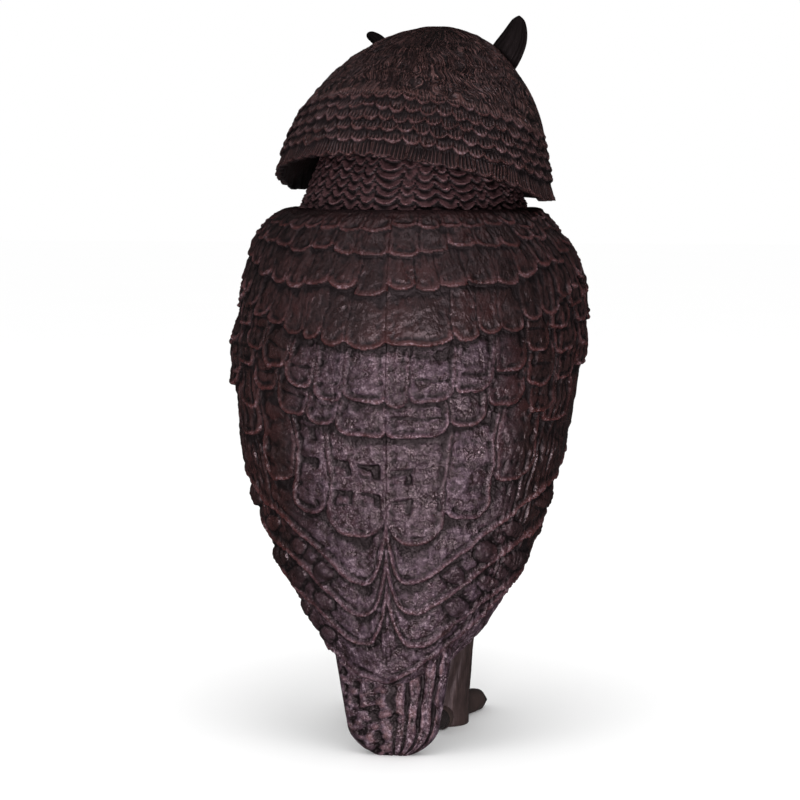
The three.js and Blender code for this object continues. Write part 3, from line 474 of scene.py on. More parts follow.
def carried(relief, height, wraps=False):
    """The values that the materials read, such as where the relief stands proud or lies deep.
    Where it lies deep the materials darken it as painted shade.
    """
    proud = height - blur(height, 3, wraps)
    wide = height - blur(height, 7, wraps)
    values = {
        "proud": clamp01(proud / 0.8),
        # deep is painted shade: hollows and the places just below the feathers' tips are darkened.
        "deep": clamp01(np.maximum(-proud / 0.65, (-wide - 0.15) / 0.9)),
    }
    for name in ("rim", "band", "across", "up", "tint", "rubbed"):
        values[name] = getattr(relief, name)
    return values


# Materials

FIELD = (0.0090, 0.0044, 0.0043)
BROWN = (0.0140, 0.0064, 0.0062)
MAROON = (0.058, 0.0145, 0.014)
STRAND = (0.034, 0.016, 0.016)
HAIR = (0.076, 0.036, 0.034)
# Greyish mauve of the lower back, partly paint and partly painted sheen.
MAUVE = (0.049, 0.030, 0.043)
# Pale specks, partly paint and partly painted glints.
SPECK_AND_GLINT = (0.30, 0.22, 0.26)
WORN = (0.070, 0.022, 0.022)
# Pinkish painted highlight on the scallops' hems and the tail's proud places
HIGHLIGHT_PINK = (0.15, 0.08, 0.085)
NEAR_BLACK = (0.0018, 0.0010, 0.0010)
WHITE = (1.0, 1.0, 1.0, 1.0)
GLOSS = 0.5  # specular level of the plastic
GLOSS_TINT = (1.0, 0.75, 0.82, 1.0)
GLOSSY_WORLD = 0.05  # how bright the white surroundings are in reflections


class Paint:
    """One node material, built up from small steps."""

    def __init__(self, name):
        self.material = bpy.data.materials.new(name)
        self.material.use_nodes = True
        self.tree = self.material.node_tree
        self.shader = self.tree.nodes["Principled BSDF"]

    def node(self, kind, inputs=(), **settings):
        made = self.tree.nodes.new(kind)
        for key, value in settings.items():
            setattr(made, key, value)
        for key, value in dict(inputs).items():
            self.feed(made.inputs[key], value)
        return made

    def feed(self, socket, value):
        if isinstance(value, bpy.types.NodeSocket):
            self.tree.links.new(value, socket)
        elif hasattr(socket.default_value, "__len__") and len(socket.default_value) == 4:
            socket.default_value = (*value, 1) if len(value) == 3 else value
        else:
            socket.default_value = value

    def attribute(self, name):
        return self.node("ShaderNodeAttribute", attribute_name=name).outputs["Fac"]

    def math(self, operation, a, b=0.0, clamp=False):
        settings = {"operation": operation, "use_clamp": clamp}
        return self.node("ShaderNodeMath", {0: a, 1: b}, **settings).outputs[0]

    def times(self, a, b, clamp=False):
        return self.math("MULTIPLY", a, b, clamp)

    def plus(self, a, b):
        return self.math("ADD", a, b)

    def scaled(self, value, low, high, out_low=0.0, out_high=1.0):
        inputs = {"Value": value, "From Min": low, "From Max": high}
        inputs.update({"To Min": out_low, "To Max": out_high})
        return self.node("ShaderNodeMapRange", inputs).outputs[0]

    def vector(self, x, y, z=0.0):
        return self.node("ShaderNodeCombineXYZ", {0: x, 1: y, 2: z}).outputs[0]

    def place(self):
        return self.node("ShaderNodeTexCoord").outputs["Object"]

    def noise(self, vector, scale, detail=3.0, rough=0.55):
        inputs = {"Vector": vector, "Scale": scale, "Detail": detail, "Roughness": rough}
        return self.node("ShaderNodeTexNoise", inputs).outputs["Fac"]

    def blend(self, share, a, b):
        inputs = {"Factor": share, "A": a, "B": b}
        return self.node("ShaderNodeMix", inputs, data_type="RGBA").outputs["Result"]

    def coat(self, share, over):
        self.colour = self.blend(share, self.colour, over)

    def bump(self, height, distance, strength=1.0, normal=None):
        inputs = {"Height": height, "Distance": distance, "Strength": strength}
        if normal is not None:
            inputs["Normal"] = normal
        return self.node("ShaderNodeBump", inputs).outputs["Normal"]

    def surface(self, colour, roughness, normal, gloss=GLOSS, tint=GLOSS_TINT):
        inputs = self.shader.inputs
        self.feed(inputs["Base Color"], colour)
        self.feed(inputs["Roughness"], roughness)
        self.feed(inputs["Normal"], normal)
        inputs["Specular IOR Level"].default_value = gloss
        inputs["Specular Tint"].default_value = tint
        return self.material


def plumage(
    name, field=FIELD, rim=MAROON, fan=0.35, pitch=1.2, sheen=False, rough=0.28,
    rim_wear_and_glint=0.32, rim_wear_and_glint_colour=WORN, speck_and_glint_share=0.65, hairy=False,
):
    """Satin moulded plastic with feathers: dark fields with fine strands along each feather,
    maroon brushed into a band inside the rims and onto the proud places, rim lines that are
    partly paint and partly painted highlight, pale specks that are partly paint and partly
    painted glints, and painted shade, near black, in the hollows. sheen turns the middle of
    the lower back to a greyish mauve, partly paint and partly painted sheen, and hairy adds
    the crown's hair and the ribs of the scallops."""
    p = Paint(name)
    names = ("proud", "deep", "rim", "band", "across", "up", "tint")
    proud, deep, edge_line, band, across, up, tint = map(p.attribute, names)
    where = p.place()
    cloud = p.noise(where, 34.0, 4.0, 0.6)
    patch = p.noise(where, 90.0, 4.0, 0.65)
    grain = p.noise(where, 430.0, 4.0, 0.7)
    specks = p.noise(where, 700.0, 2.0, 0.7)

    # Strands run down each feather and fan out a little from its middle.
    strand = p.plus(across, p.times(up, p.times(p.math("SIGN", across), fan)))
    inward = p.times(p.math("ABSOLUTE", across), fan)
    along = p.times(p.math("SUBTRACT", up, inward), 0.12)
    lines = p.vector(p.math("DIVIDE", strand, pitch), along, p.times(tint, 31.0))
    strands = p.noise(lines, 1.0, 2.0, 0.6)
    lit, lit_share, dark_share, strand_height = STRAND, 0.26, 0.5, 0.0005
    if hairy:
        lit, lit_share, dark_share, strand_height = HAIR, 0.95, 0.9, 0.0022
        furry, comb = p.attribute("furry"), p.attribute("comb")
        hair = p.vector(
            p.math("DIVIDE", p.attribute("hair_across"), 1.25),
            p.math("DIVIDE", p.attribute("hair_along"), 5.5),
        )
        hairs = p.scaled(p.noise(hair, 1.0, 1.5, 0.5), 0.36, 0.62, 0.28, 0.68)
        ribs = p.math("COSINE", p.times(across, TURN / RIB_PITCH))
        flat = p.math("SUBTRACT", 1.0, p.math("MAXIMUM", furry, comb))
        strands = p.plus(p.times(hairs, furry), p.times(strands, flat))
        strands = p.plus(strands, p.times(p.scaled(ribs, -1.0, 1.0, 0.33, 0.56), comb))

    # A soft maroon band inside each rim, darker fields and some reddish clouds
    soft = tuple(0.62 * c + 0.38 * d for c, d in zip(rim, field))
    p.colour = p.blend(p.scaled(tint, -1.0, 1.0, 0.0, 0.5), field, BROWN)
    p.coat(p.scaled(cloud, 0.45, 0.66, 0.0, 0.4), soft)
    reach = p.plus(p.times(band, 1.5), p.scaled(patch, 0.3, 0.7, -0.75, 0.25))
    p.coat(p.scaled(reach, 0.05, 0.9, 0.0, 0.8), soft)
    p.coat(p.scaled(strands, 0.48, 0.68, 0.0, lit_share), lit)
    p.coat(p.scaled(strands, 0.44, 0.30, 0.0, dark_share), NEAR_BLACK)
    if sheen:
        # The middle of the lower back turns greyish mauve, partly paint and partly painted sheen,
        # with dull patches, and pale scuff marks and specks that are partly paint and partly
        # painted glints.
        rubbed = p.attribute("rubbed")
        out = p.node("ShaderNodeSeparateXYZ", {0: where}).outputs["X"]
        # Painted sheen: the mauve keeps to the middle of the back and fades towards the sides.
        middle = p.scaled(p.math("ABSOLUTE", p.plus(out, -0.008)), 0.072, 0.040)
        patchy = p.scaled(patch, 0.30, 0.58, 0.35, 1.0)
        share = p.times(p.times(middle, rubbed), patchy, clamp=True)
        p.coat(share, MAUVE)
        mottle = p.noise(where, 190.0, 4.0, 0.7)
        dull = p.times(p.scaled(mottle, 0.54, 0.40), p.scaled(share, 0.0, 0.4), clamp=True)
        p.coat(p.times(dull, 0.9), field)
        # Pale scuff marks and specks, partly paint and partly painted glints.
        scuff_and_glint = p.times(p.scaled(mottle, 0.58, 0.72), p.scaled(share, 0.1, 0.6), clamp=True)
        p.coat(p.times(scuff_and_glint, 0.8 * speck_and_glint_share), SPECK_AND_GLINT)
        dots = p.times(p.scaled(specks, 0.57, 0.66), p.scaled(cloud, 0.47, 0.60), clamp=True)
        p.coat(p.times(p.times(dots, share), speck_and_glint_share), SPECK_AND_GLINT)
    knocked = p.times(p.scaled(proud, 0.35, 1.0), p.scaled(grain, 0.40, 0.62), clamp=True)
    knocked = p.times(knocked, p.scaled(patch, 0.40, 0.62, 0.06, 0.45))
    p.coat(knocked, WORN)
    # Rim lines: on the wings a maroon line of paint, on the head, neck and tail a painted
    # highlight.
    lined = p.times(edge_line, p.scaled(patch, 0.42, 0.64, 0.05, 0.9), clamp=True)
    p.coat(p.times(lined, rim_wear_and_glint), rim_wear_and_glint_colour)
    # Painted glints: pale specks along the rims.
    glinting = p.times(edge_line, p.scaled(patch, 0.47, 0.60))
    glints = p.times(p.scaled(specks, 0.50, 0.66), glinting, clamp=True)
    p.coat(p.times(glints, 0.6), SPECK_AND_GLINT)
    # Painted shade: near black where the relief lies deep.
    p.coat(p.scaled(deep, 0.05, 0.65), NEAR_BLACK)

    cloudy = p.scaled(patch, 0.32, 0.68, rough - 0.11, rough + 0.14)
    roughness = p.plus(cloudy, p.times(deep, 0.3))
    normal = p.bump(p.scaled(grain, 0.3, 0.7), 0.00015, 0.7)
    normal = p.bump(p.scaled(patch, 0.3, 0.7), 0.0011, 0.8, normal)
    if sheen:
        # The dark upper rows are a little duller than the greyish mauve lower back.
        roughness = p.plus(roughness, p.scaled(rubbed, 0.0, 0.3, 0.10, 0.0))
        normal = p.bump(p.times(mottle, share), 0.0022, 1.0, normal)
        strands = p.times(strands, p.math("SUBTRACT", 1.0, p.times(share, 0.65)))
    return p.surface(p.colour, roughness, p.bump(strands, strand_height, 0.9, normal))


def plain_plastic(name, colour, rough=0.45, grain_size=500.0, streak=None, gloss=GLOSS):
    """Satin moulded plastic with cloudy colour, fine grain and, where given, upright streaks
    that many millimetres wide."""
    p = Paint(name)
    where = p.place()
    cloud = p.noise(where, 40.0, 4.0, 0.6)
    grain = p.noise(where, grain_size, 3.0, 0.6)
    mixed = p.blend(p.scaled(cloud, 0.35, 0.65), colour, tuple(1.7 * c for c in colour))
    normal = p.bump(p.scaled(grain, 0.3, 0.7), 0.00012, 0.6)
    if streak:
        x, y, z = p.node("ShaderNodeSeparateXYZ", {0: where}).outputs
        line = p.vector(p.times(x, 1000 / streak), p.times(y, 1000 / streak), p.times(z, 60.0))
        streaks = p.noise(line, 1.0, 2.0, 0.6)
        pale = tuple(2.6 * c for c in colour)
        mixed = p.blend(p.scaled(streaks, 0.52, 0.75, 0.0, 0.6), mixed, pale)
        normal = p.bump(streaks, 0.0006, 0.8, normal)
    roughness = p.scaled(grain, 0.3, 0.7, rough - 0.08, rough + 0.08)
    return p.surface(mixed, roughness, normal, gloss)


WING_PAINT = plumage("wing_feathers", sheen=True)
BREAST_PAINT = plumage("breast_feathers", fan=0.8, rough=0.36)
# The neck's rim lines are pinkish painted highlights.
NECK_PAINT = plumage(
    "neck_feathers", field=(0.042, 0.023, 0.026), rim=(0.085, 0.036, 0.039),
    rough=0.26, rim_wear_and_glint=0.9, rim_wear_and_glint_colour=(0.16, 0.085, 0.09),
)
HEAD_PAINT = plumage(
    "head_feathers", field=(0.0115, 0.0062, 0.0060), rim=(0.044, 0.014, 0.0135),
    fan=0.05, pitch=1.5, rim_wear_and_glint=0.6, rim_wear_and_glint_colour=HIGHLIGHT_PINK, hairy=True,
)
TAIL_PAINT = plumage("tail_feathers", sheen=True, rough=0.22, rim_wear_and_glint=0.8, rim_wear_and_glint_colour=HIGHLIGHT_PINK, speck_and_glint_share=1.0)
LEG_PAINT = plain_plastic("leg_feathers", (0.020, 0.0125, 0.0115), 0.45, streak=1.6)
TOE_PAINT = plain_plastic("toes", (0.026, 0.017, 0.015), 0.42, 320.0)
TALON_PAINT = plain_plastic("talons", (0.010, 0.008, 0.008), 0.30)
EAR_PAINT = plain_plastic("ears", (0.0030, 0.0022, 0.0022), 0.62, 600.0, streak=1.0, gloss=0.1)
BEAK_PAINT = plain_plastic("beak", (0.030, 0.021, 0.018), 0.30, 700.0)
SOCKET_PAINT = plain_plastic("socket", (0.018, 0.012, 0.011), 0.5, 600.0)

# Wings and back, one mesh for each side of the mould seam along the spine

def wing(side, name):
    columns, rows = 228, 408
    edge = radians(WING_EDGE_DEG)
    angle = side * np.linspace(0, edge, columns)
    if side < 0:
        angle = angle[::-1]
    angle, down = np.meshgrid(angle, np.linspace(0, DOWN[-1], rows))
    z = height_at(down)
    plain = body_point(angle, z)
    # The outlines of the feathers wander a little, but not beside the spine.
    calm = clamp01(np.abs(angle) * GIRTH_R / 12)
    wander = (1.2 * lumps(plain, 38, 1) + 0.35 * lumps(plain, 13, 2)) * calm
    slip = 1.1 * lumps(plain, 42, 3) + 0.5 * lumps(plain, 14, 4)
    away = np.maximum(np.abs(angle) + wander / GIRTH_R, radians(0.15)) * side
    relief = wing_relief(side, away, z, down + slip * clamp01(down / 10))
    flank = clamp01((np.abs(angle) - radians(42)) / radians(18))
    streaky = strokes(np.abs(angle) * GIRTH_R, down, 4.6, 20, 7)
    relief.height += 0.60 * flank * streaky
    relief.height += 0.30 * lumps(plain, 17, 5) + 0.17 * lumps(plain, 6.5, 6)
    relief.height += 0.10 * lumps(plain, 3.4, 8)
    inside = (edge - np.abs(angle)) * GIRTH_R
    fade = clamp01(down / 12) * clamp01((z - KEEL_Z) / 6)
    height = fade * (relief.height + 0.8 * bell(inside - 2, 2))
    height += WING_LIFT * clamp01(down / 40) * clamp01((z - KEEL_Z) / 30)
    values = carried(relief, height)
    values["proud"] = values["proud"] * (1 - 0.9 * relief.comb)
    # Painted shade at the top of the back, under the head, and the beads a little darker.
    shaded = np.maximum(0.12 * relief.comb, 0.5 * clamp01(1 - down / 16))
    values["deep"] = np.maximum(values["deep"], shaded)
    normal = shell_normals(plain)
    seam, front = (0, -1) if side > 0 else (-1, 0)
    points = plain + normal * height[..., None]
    # Both long edges are turned down, so that no gap shows beside the other pieces.
    turned = body_point(angle + side * radians(0.6), z) - normal * 1.2
    points[:, front] = turned[:, front]
    tucked = body_point(angle - side * radians(0.5), z) + normal * (height[..., None] - 1.6)

    def with_seam(grid, extra):
        column = extra[:, seam : seam + 1 or None]
        return np.concatenate([column, grid] if side > 0 else [grid, column], axis=1)

    points = with_seam(points, tucked)
    values = {key: with_seam(grid, grid) for key, grid in values.items()}
    make_mesh(name, points, [grid_faces(rows, columns + 1)], values, BODY, WING_PAINT)


wing(-1, "left_wing_and_back")
wing(1, "right_wing_and_back")

# Breast and belly

def breast():
    columns, rows = 130, 240
    edge = radians(WING_EDGE_DEG - 1.5)
    turn = np.linspace(edge, TURN - edge, columns)
    turn, down = np.meshgrid(turn, np.linspace(0, DOWN[-1], rows))
    angle = np.where(turn > pi, turn - TURN, turn)
    z = height_at(down)
    relief = breast_relief(angle, down)
    height = clamp01(down / 12) * clamp01((z - KEEL_Z) / 6) * relief.height
    plain = body_point(turn, z)
    points = plain + shell_normals(plain) * height[..., None]
    faces = [grid_faces(rows, columns)]
    make_mesh("breast", points, faces, carried(relief, height), BODY, BREAST_PAINT)


breast()

# Neck with its peg, one surface turned about the head's axis

def turned_grid(profile, columns):
    """Angle, radius and height of each point of a profile turned about the head's axis."""
    radius, z = np.array(profile).T
    angle = np.linspace(0, TURN, columns, endpoint=False)
    angle, radius = np.meshgrid(angle, radius)
    return angle, radius, np.broadcast_to(z[:, None], angle.shape)


def about_axis(angle, radius, z):
    forward = NECK_FORWARD + radius * np.sin(angle)
    return np.stack([radius * np.cos(angle), forward, z], axis=-1)


def neck():
    columns, girth = 352, 65  # girth is about the neck's radius
    top = NECK_TOP_Z + PEG_LENGTH
    profile = [(0.01, top), (PEG_R - 1.2, top), (PEG_R, top - 1.2)]
    profile += [(PEG_R, NECK_TOP_Z + 1), (PEG_R + 1, NECK_TOP_Z)]
    profile += [(r, NECK_TOP_Z) for r in np.linspace(PEG_R + 4, NECK_TOP_R - 3, 8)]
    slope = (NECK_BASE_R - NECK_TOP_R) / (NECK_TOP_Z - SEAM_Z)
    for h in np.linspace(NECK_TOP_Z - 0.8, SEAM_Z - 14, 110):
        below = NECK_TOP_Z - h
        profile.append((NECK_TOP_R + slope * below - 0.8 * bell(below, 1.5), h))
    angle, radius, z = turned_grid(profile, columns)
    spots = np.stack([girth * np.cos(angle), girth * np.sin(angle), z], axis=-1)
    turn = (angle + 2.2 * lumps(spots, 26, 31) / girth) / TURN * NECK_COLUMNS
    number = np.mod(np.floor(turn), NECK_COLUMNS)
    column = np.mod(turn, 1) * 2 - 1
    # Nested U-shaped feathers, column beside column.
    level = (NECK_TOP_Z - z + 0.8 * lumps(spots, 17, 32)) / NECK_PITCH
    level = level + 0.85 * column**2 + 0.6 * jitter(31, number)
    share = level - np.floor(level)
    wall = clamp01((radius - NECK_TOP_R + 1.5) / 1.5)
    flat = 1 - 0.8 * bell(spots[..., 0] - 9, 6) * bell(z - 352, 12) * (spots[..., 1] < 0)
    nested = 1.3 * share + 1.1 * bell(share - 0.83, 0.10)
    nested = nested - 0.45 * bell(1 - np.abs(column), 0.13)
    height = wall * (flat * nested - 1.0 + 0.2 * lumps(spots, 7, 33))
    relief = Relief(angle.shape)
    relief.up = (1 - share) * NECK_PITCH
    relief.across = column * 6
    relief.tint = jitter(np.floor(level), number)
    # Painted highlight lines along the bead of each nested U.
    relief.rim = bell(share - 0.86, 0.09) * clamp01(0.55 + 0.6 * relief.tint) * wall * flat
    relief.band = wall * share
    points = about_axis(angle, radius + height, z)
    faces = [grid_faces(len(profile), columns, wraps=True)]
    make_mesh("neck", points, faces, carried(relief, height, True), BODY, NECK_PAINT)


neck()

# Tail

def tail():
    columns, rows = 200, 130
    z = np.linspace(TAIL_TOP_Z + 14, 0, rows)
    angle = np.linspace(0, TURN, columns, endpoint=False)
    angle, z = np.meshgrid(angle, z)
    drop = clamp01((TAIL_TIP_HEIGHT - z) / TAIL_TIP_HEIGHT)
    tip = np.sqrt(1 - drop * drop * (1 - TAIL_TIP_FLAT**2))
    half = (TAIL_HALF_WIDTH + TAIL_FLARE * z) * tip
    thick = (TAIL_THICKNESS / 2) * (0.35 + 0.65 * tip)
    c, s = np.cos(angle), np.sin(angle)
    x = half * np.sign(c) * np.abs(c) ** 0.75
    y = thick * np.sign(s) * np.abs(s) ** 0.75
    facing = np.minimum(1, np.maximum(0, -s) * 2)
    spots = np.stack([x, y, z], axis=-1)
    # Deep grooves on the right draw together at the tip, and the left is lumpy, with the
    # blunt ends of two feathers.
    share = x / np.maximum(half, 1) + 0.02 * lumps(spots, 25, 41)
    grooves = bell(np.mod(share - 0.06 + 0.125, 0.25) - 0.125, 0.045) * (share > 0.0)
    ribs = 0.3 * np.cos(share * TURN / 0.125) * (share > 0.06)
    height = facing * (-1.5 * grooves + ribs)
    left = clamp01((0.04 - share) / 0.05)
    height += facing * left * (0.8 * lumps(spots, 9, 42) + 0.3 * lumps(spots, 4.5, 43))
    for middle, reach, end in ((-13.5, 6.5, 31), (0.0, 8.0, 25.5)):
        past = z - end - 0.25 * (x - middle) + 0.5 * lumps(spots, 8, 44)
        within = clamp01((reach - np.abs(x - middle)) / 1.5)
        step = 1.8 * clamp01(past / 0.8) * clamp01(1 - past / 30) - 0.5 * bell(past + 0.8, 0.9)
        height += facing * within * step
    height -= facing * 0.6 * bell(np.abs(share) - 0.86, 0.05) * (share < 0)
    height += facing * 0.5 * lumps(spots, 11, 46) * (share > 0.04)
    points = np.stack([x, -TAIL_BACK + TAIL_THICKNESS / 2 + y - height, z], axis=-1)
    relief = Relief(angle.shape)
    relief.across = x
    relief.up = z
    # Painted highlights on the tail's proud places, carried as its rim line.
    relief.rim = 0.7 * clamp01((height - blur(height, 3, True)) / 0.5) * facing
    relief.rubbed += 0.9
    # One more point closes the tip.
    flat = points[-1].mean(axis=0)
    points = np.concatenate([points.reshape(-1, 3), [flat]])
    ring = (rows - 1) * columns + np.arange(columns)
    cap = np.stack([ring, np.full(columns, rows * columns), np.roll(ring, -1)], axis=-1)
    faces = [grid_faces(rows, columns, wraps=True)[:, ::-1], cap[:, ::-1]]
    values = carried(relief, height, True)
    values = {key: np.append(grid, grid[-1, -1]) for key, grid in values.items()}
    make_mesh("tail", points, faces, values, BODY, TAIL_PAINT)


tail()

# Tapered round forms: legs, toes, talons, ears and beak

def taper(centre, radius, sides, rows, flatten=1.0, wobble=lambda a, t: 0):
    """Rings of points from t = 0 to 1 along a path, with the ends closed on their middles."""
    points = []
    for t in np.linspace(0, 1, rows):
        here = centre(t)
        along = (centre(min(1, t + 0.01)) - centre(max(0, t - 0.01))).normalized()
        turn = Vector((0, 0, -1)).rotation_difference(along)
        for i in range(sides):
            a = i / sides * TURN
            spot = Vector((cos(a), flatten * sin(a), 0)) * radius(t)
            points.append(here + turn @ (spot * (1 + wobble(a, t))))
    points += [centre(0), centre(1)]
    top = np.arange(sides)
    bottom = (rows - 1) * sides + top
    first = np.stack([np.full(sides, rows * sides), top, np.roll(top, -1)], axis=-1)
    last = np.stack([np.full(sides, rows * sides + 1), np.roll(bottom, -1), bottom], axis=-1)
    faces = [grid_faces(rows, sides, wraps=True), np.concatenate([first, last])]
    return np.array([tuple(p) for p in points]), faces


def limb(name, paint, *form, **more):
    """A tapered piece of a leg or foot, kept above the ground."""
    points, faces = taper(*form, **more)
    points[:, 2] = np.maximum(points[:, 2], 0.0)
    make_mesh(name, points, faces, {}, BODY, paint)


def leg(side, word):
    foot = Vector((side * LEG_OUT, LEG_FORWARD, 0.2))
    hip = Vector((side * LEG_OUT, LEG_FORWARD - 4, LEG_TOP_Z))

    def shag(a, t):
        return 0.035 * sin(13 * a + 3 * sin(9 * t)) * sin(t * pi) - 0.02

    limb(
        word + "_leg", LEG_PAINT,
        lambda t: hip.lerp(foot, t),
        lambda t: LEG_TOP_R + (LEG_FOOT_R - LEG_TOP_R) * sin(t * pi / 2),
        96, 60, wobble=shag,
    )
    for number, spread in enumerate([-TOE_SPREAD_DEG, 0, TOE_SPREAD_DEG, 180], 1):
        heading = radians(90 - spread - 4 * side)
        length = HIND_TOE_LENGTH if spread == 180 else TOE_LENGTH
        ahead = Vector((cos(heading), sin(heading), 0))
        reach = length + TALON_LENGTH
        split = length / reach

        def spot(t):
            at = foot + ahead * (t * reach)
            return Vector((at.x, at.y, TOE_R - 1 - 3.5 * min(1, max(0, t * 3 - 2))))

        limb(
            f"{word}_toe_{number}", TOE_PAINT,
            lambda t: spot(t * split),
            lambda t: TOE_R * (1 - 0.12 * t * split) + 0.3 - 0.5 * (t > 0.97),
            36, 30, wobble=lambda a, t: 0.03 * cos(t * 16) - 0.02,
        )
        limb(
            f"{word}_talon_{number}", TALON_PAINT,
            lambda t: spot(split + t * (1 - split)),
            lambda t: TOE_R * 0.8 * (1.02 - (split + t * (1 - split))) * reach / TALON_LENGTH + 0.3,
            28, 16,
        )


leg(-1, "left")
leg(1, "right")

# Head, in its own frame: +Y ahead, h = 0 at the level front of its rim

HEAD_PLACE = (
    Matrix.Translation((0, NECK_FORWARD, 0))
    @ Matrix.Rotation(-radians(HEAD_TURN_DEG), 4, "Z")
    @ Matrix.Translation((0, 0, RIM_Z))
    @ Matrix.Rotation(radians(HEAD_ROLL_DEG), 4, "Y")
)


def moved(points, place):
    m = np.array(place)
    return np.asarray(points) @ m[:3, :3].T + m[:3, 3]


def placed(points):
    return moved(points, HEAD_PLACE)


def head_radius(h, inset):
    share = clamp01(h / (CROWN_H - inset))
    taper_in = 1 - DOME_TAPER * np.maximum(0, h) / CROWN_H
    return (RIM_R - inset) * taper_in * np.sqrt(1 - share**DOME_FULLNESS)


def head_forward(h):
    return CROWN_FORWARD * (np.maximum(0, h) / CROWN_H) ** CROWN_EASE


def head_point(angle, h, inset):
    r = head_radius(h, inset)
    forward = head_forward(h) - r * np.cos(angle)
    return np.stack([r * np.sin(angle), forward, h + 0 * angle], axis=-1)


def nape(angle):
    return np.maximum(0, np.cos(angle))


def rim_notch(angle):
    turn = angle / TURN * SCALLOPS_AROUND - 0.5
    notch = 1.6 * (2 * (turn - np.round(turn))) ** 2
    return np.where(pi - np.abs(angle) > radians(70), notch, 0)


def scallops(angle, h):
    """Rows of scallops, each over the next one down, and a ribbed fringe along the rim."""
    relief = Relief(angle.shape)
    turn = angle / TURN * SCALLOPS_AROUND
    width = TURN * RIM_R / SCALLOPS_AROUND
    first = FIRST_SCALLOP_H + SCALLOP_CLIMB * nape(angle)
    for row in range(SCALLOP_ROWS - 1, -2, -1):
        fringe = row < 0
        shift = 0.5 * (row % 2) + 0.13 * row
        index = np.round(turn - shift)
        x = turn - shift - index
        tip = NAPE_RISE * nape(angle) - 1 if fringe else first + SCALLOP_PITCH * row
        up = h - (tip + 2.6 * np.abs(2 * x) ** 2.6 + 0.8 * jitter(row + 40, index))
        aside = (0.5 - np.abs(x)) * width
        tint = jitter(row + 11, index)
        height = SCALLOP_THICK * (1 - clamp01(up / 13)) + 0.75 * bell(up - 1.1, 1.0)
        height -= 0.3 * bell(aside, 0.6) * bell(up - 3, 3)
        fan = x * width * (1 + up / 60)
        comb = clamp01((up - 1.2) / 1.2) * clamp01(((12 if fringe else 6) - up) / 3)
        height += 0.30 * np.cos(fan * TURN / RIB_PITCH) * comb
        # Painted highlights along the scallops' hems, half as strong on the fringe.
        rim = bell(up - 1.0, 0.9) * (1 - 0.75 * np.abs(2 * x) ** 2) * (0.65 + 0.35 * tint)
        rim = rim * (0.5 if fringe else 1)
        relief.lay(up > 0, height, fan, up, tint, rim, clamp01(1 - up / 4.2), comb)
    top_row = first + SCALLOP_PITCH * (SCALLOP_ROWS - 1)
    relief.furry = clamp01((h - top_row - 3) / 5)
    return relief


def face_disc(angle, h):
    """Distance aside and away from the middle of an eye's disc, how far a place belongs to the
    face, and how deep the disc is there."""
    ahead = pi - np.abs(angle)
    share = clamp01((radians(74) - ahead) / radians(8))
    aside = (ahead - radians(DISC_OUT_DEG)) * FACE_R
    distance = np.hypot(aside, h - DISC_H)
    hollow = -DISC_DEPTH * (1 - (distance / DISC_R) ** 2) * share
    return aside, distance, share, np.where(distance < DISC_R, hollow, 0)


def raised_head(angle, h, inset, amount):
    round_step = head_point(angle + 0.01, h, 0) - head_point(angle - 0.01, h, 0)
    above = np.minimum(CROWN_H - 0.001, h + 0.3)
    up_step = head_point(angle, above, 0) - head_point(angle, h - 0.3, 0)
    normal = np.cross(round_step, up_step)
    normal /= np.maximum(np.linalg.norm(normal, axis=-1, keepdims=True), 1e-9)
    return head_point(angle, h, inset) + normal * np.asarray(amount)[..., None]


def head_grid(angle, climb, top):
    """Angles and heights of a grid that climbs from the rim to the top."""
    angle, climb = np.meshgrid(angle, climb)
    low = NAPE_RISE * nape(angle) + rim_notch(angle)
    return angle, low + (top - low) * climb


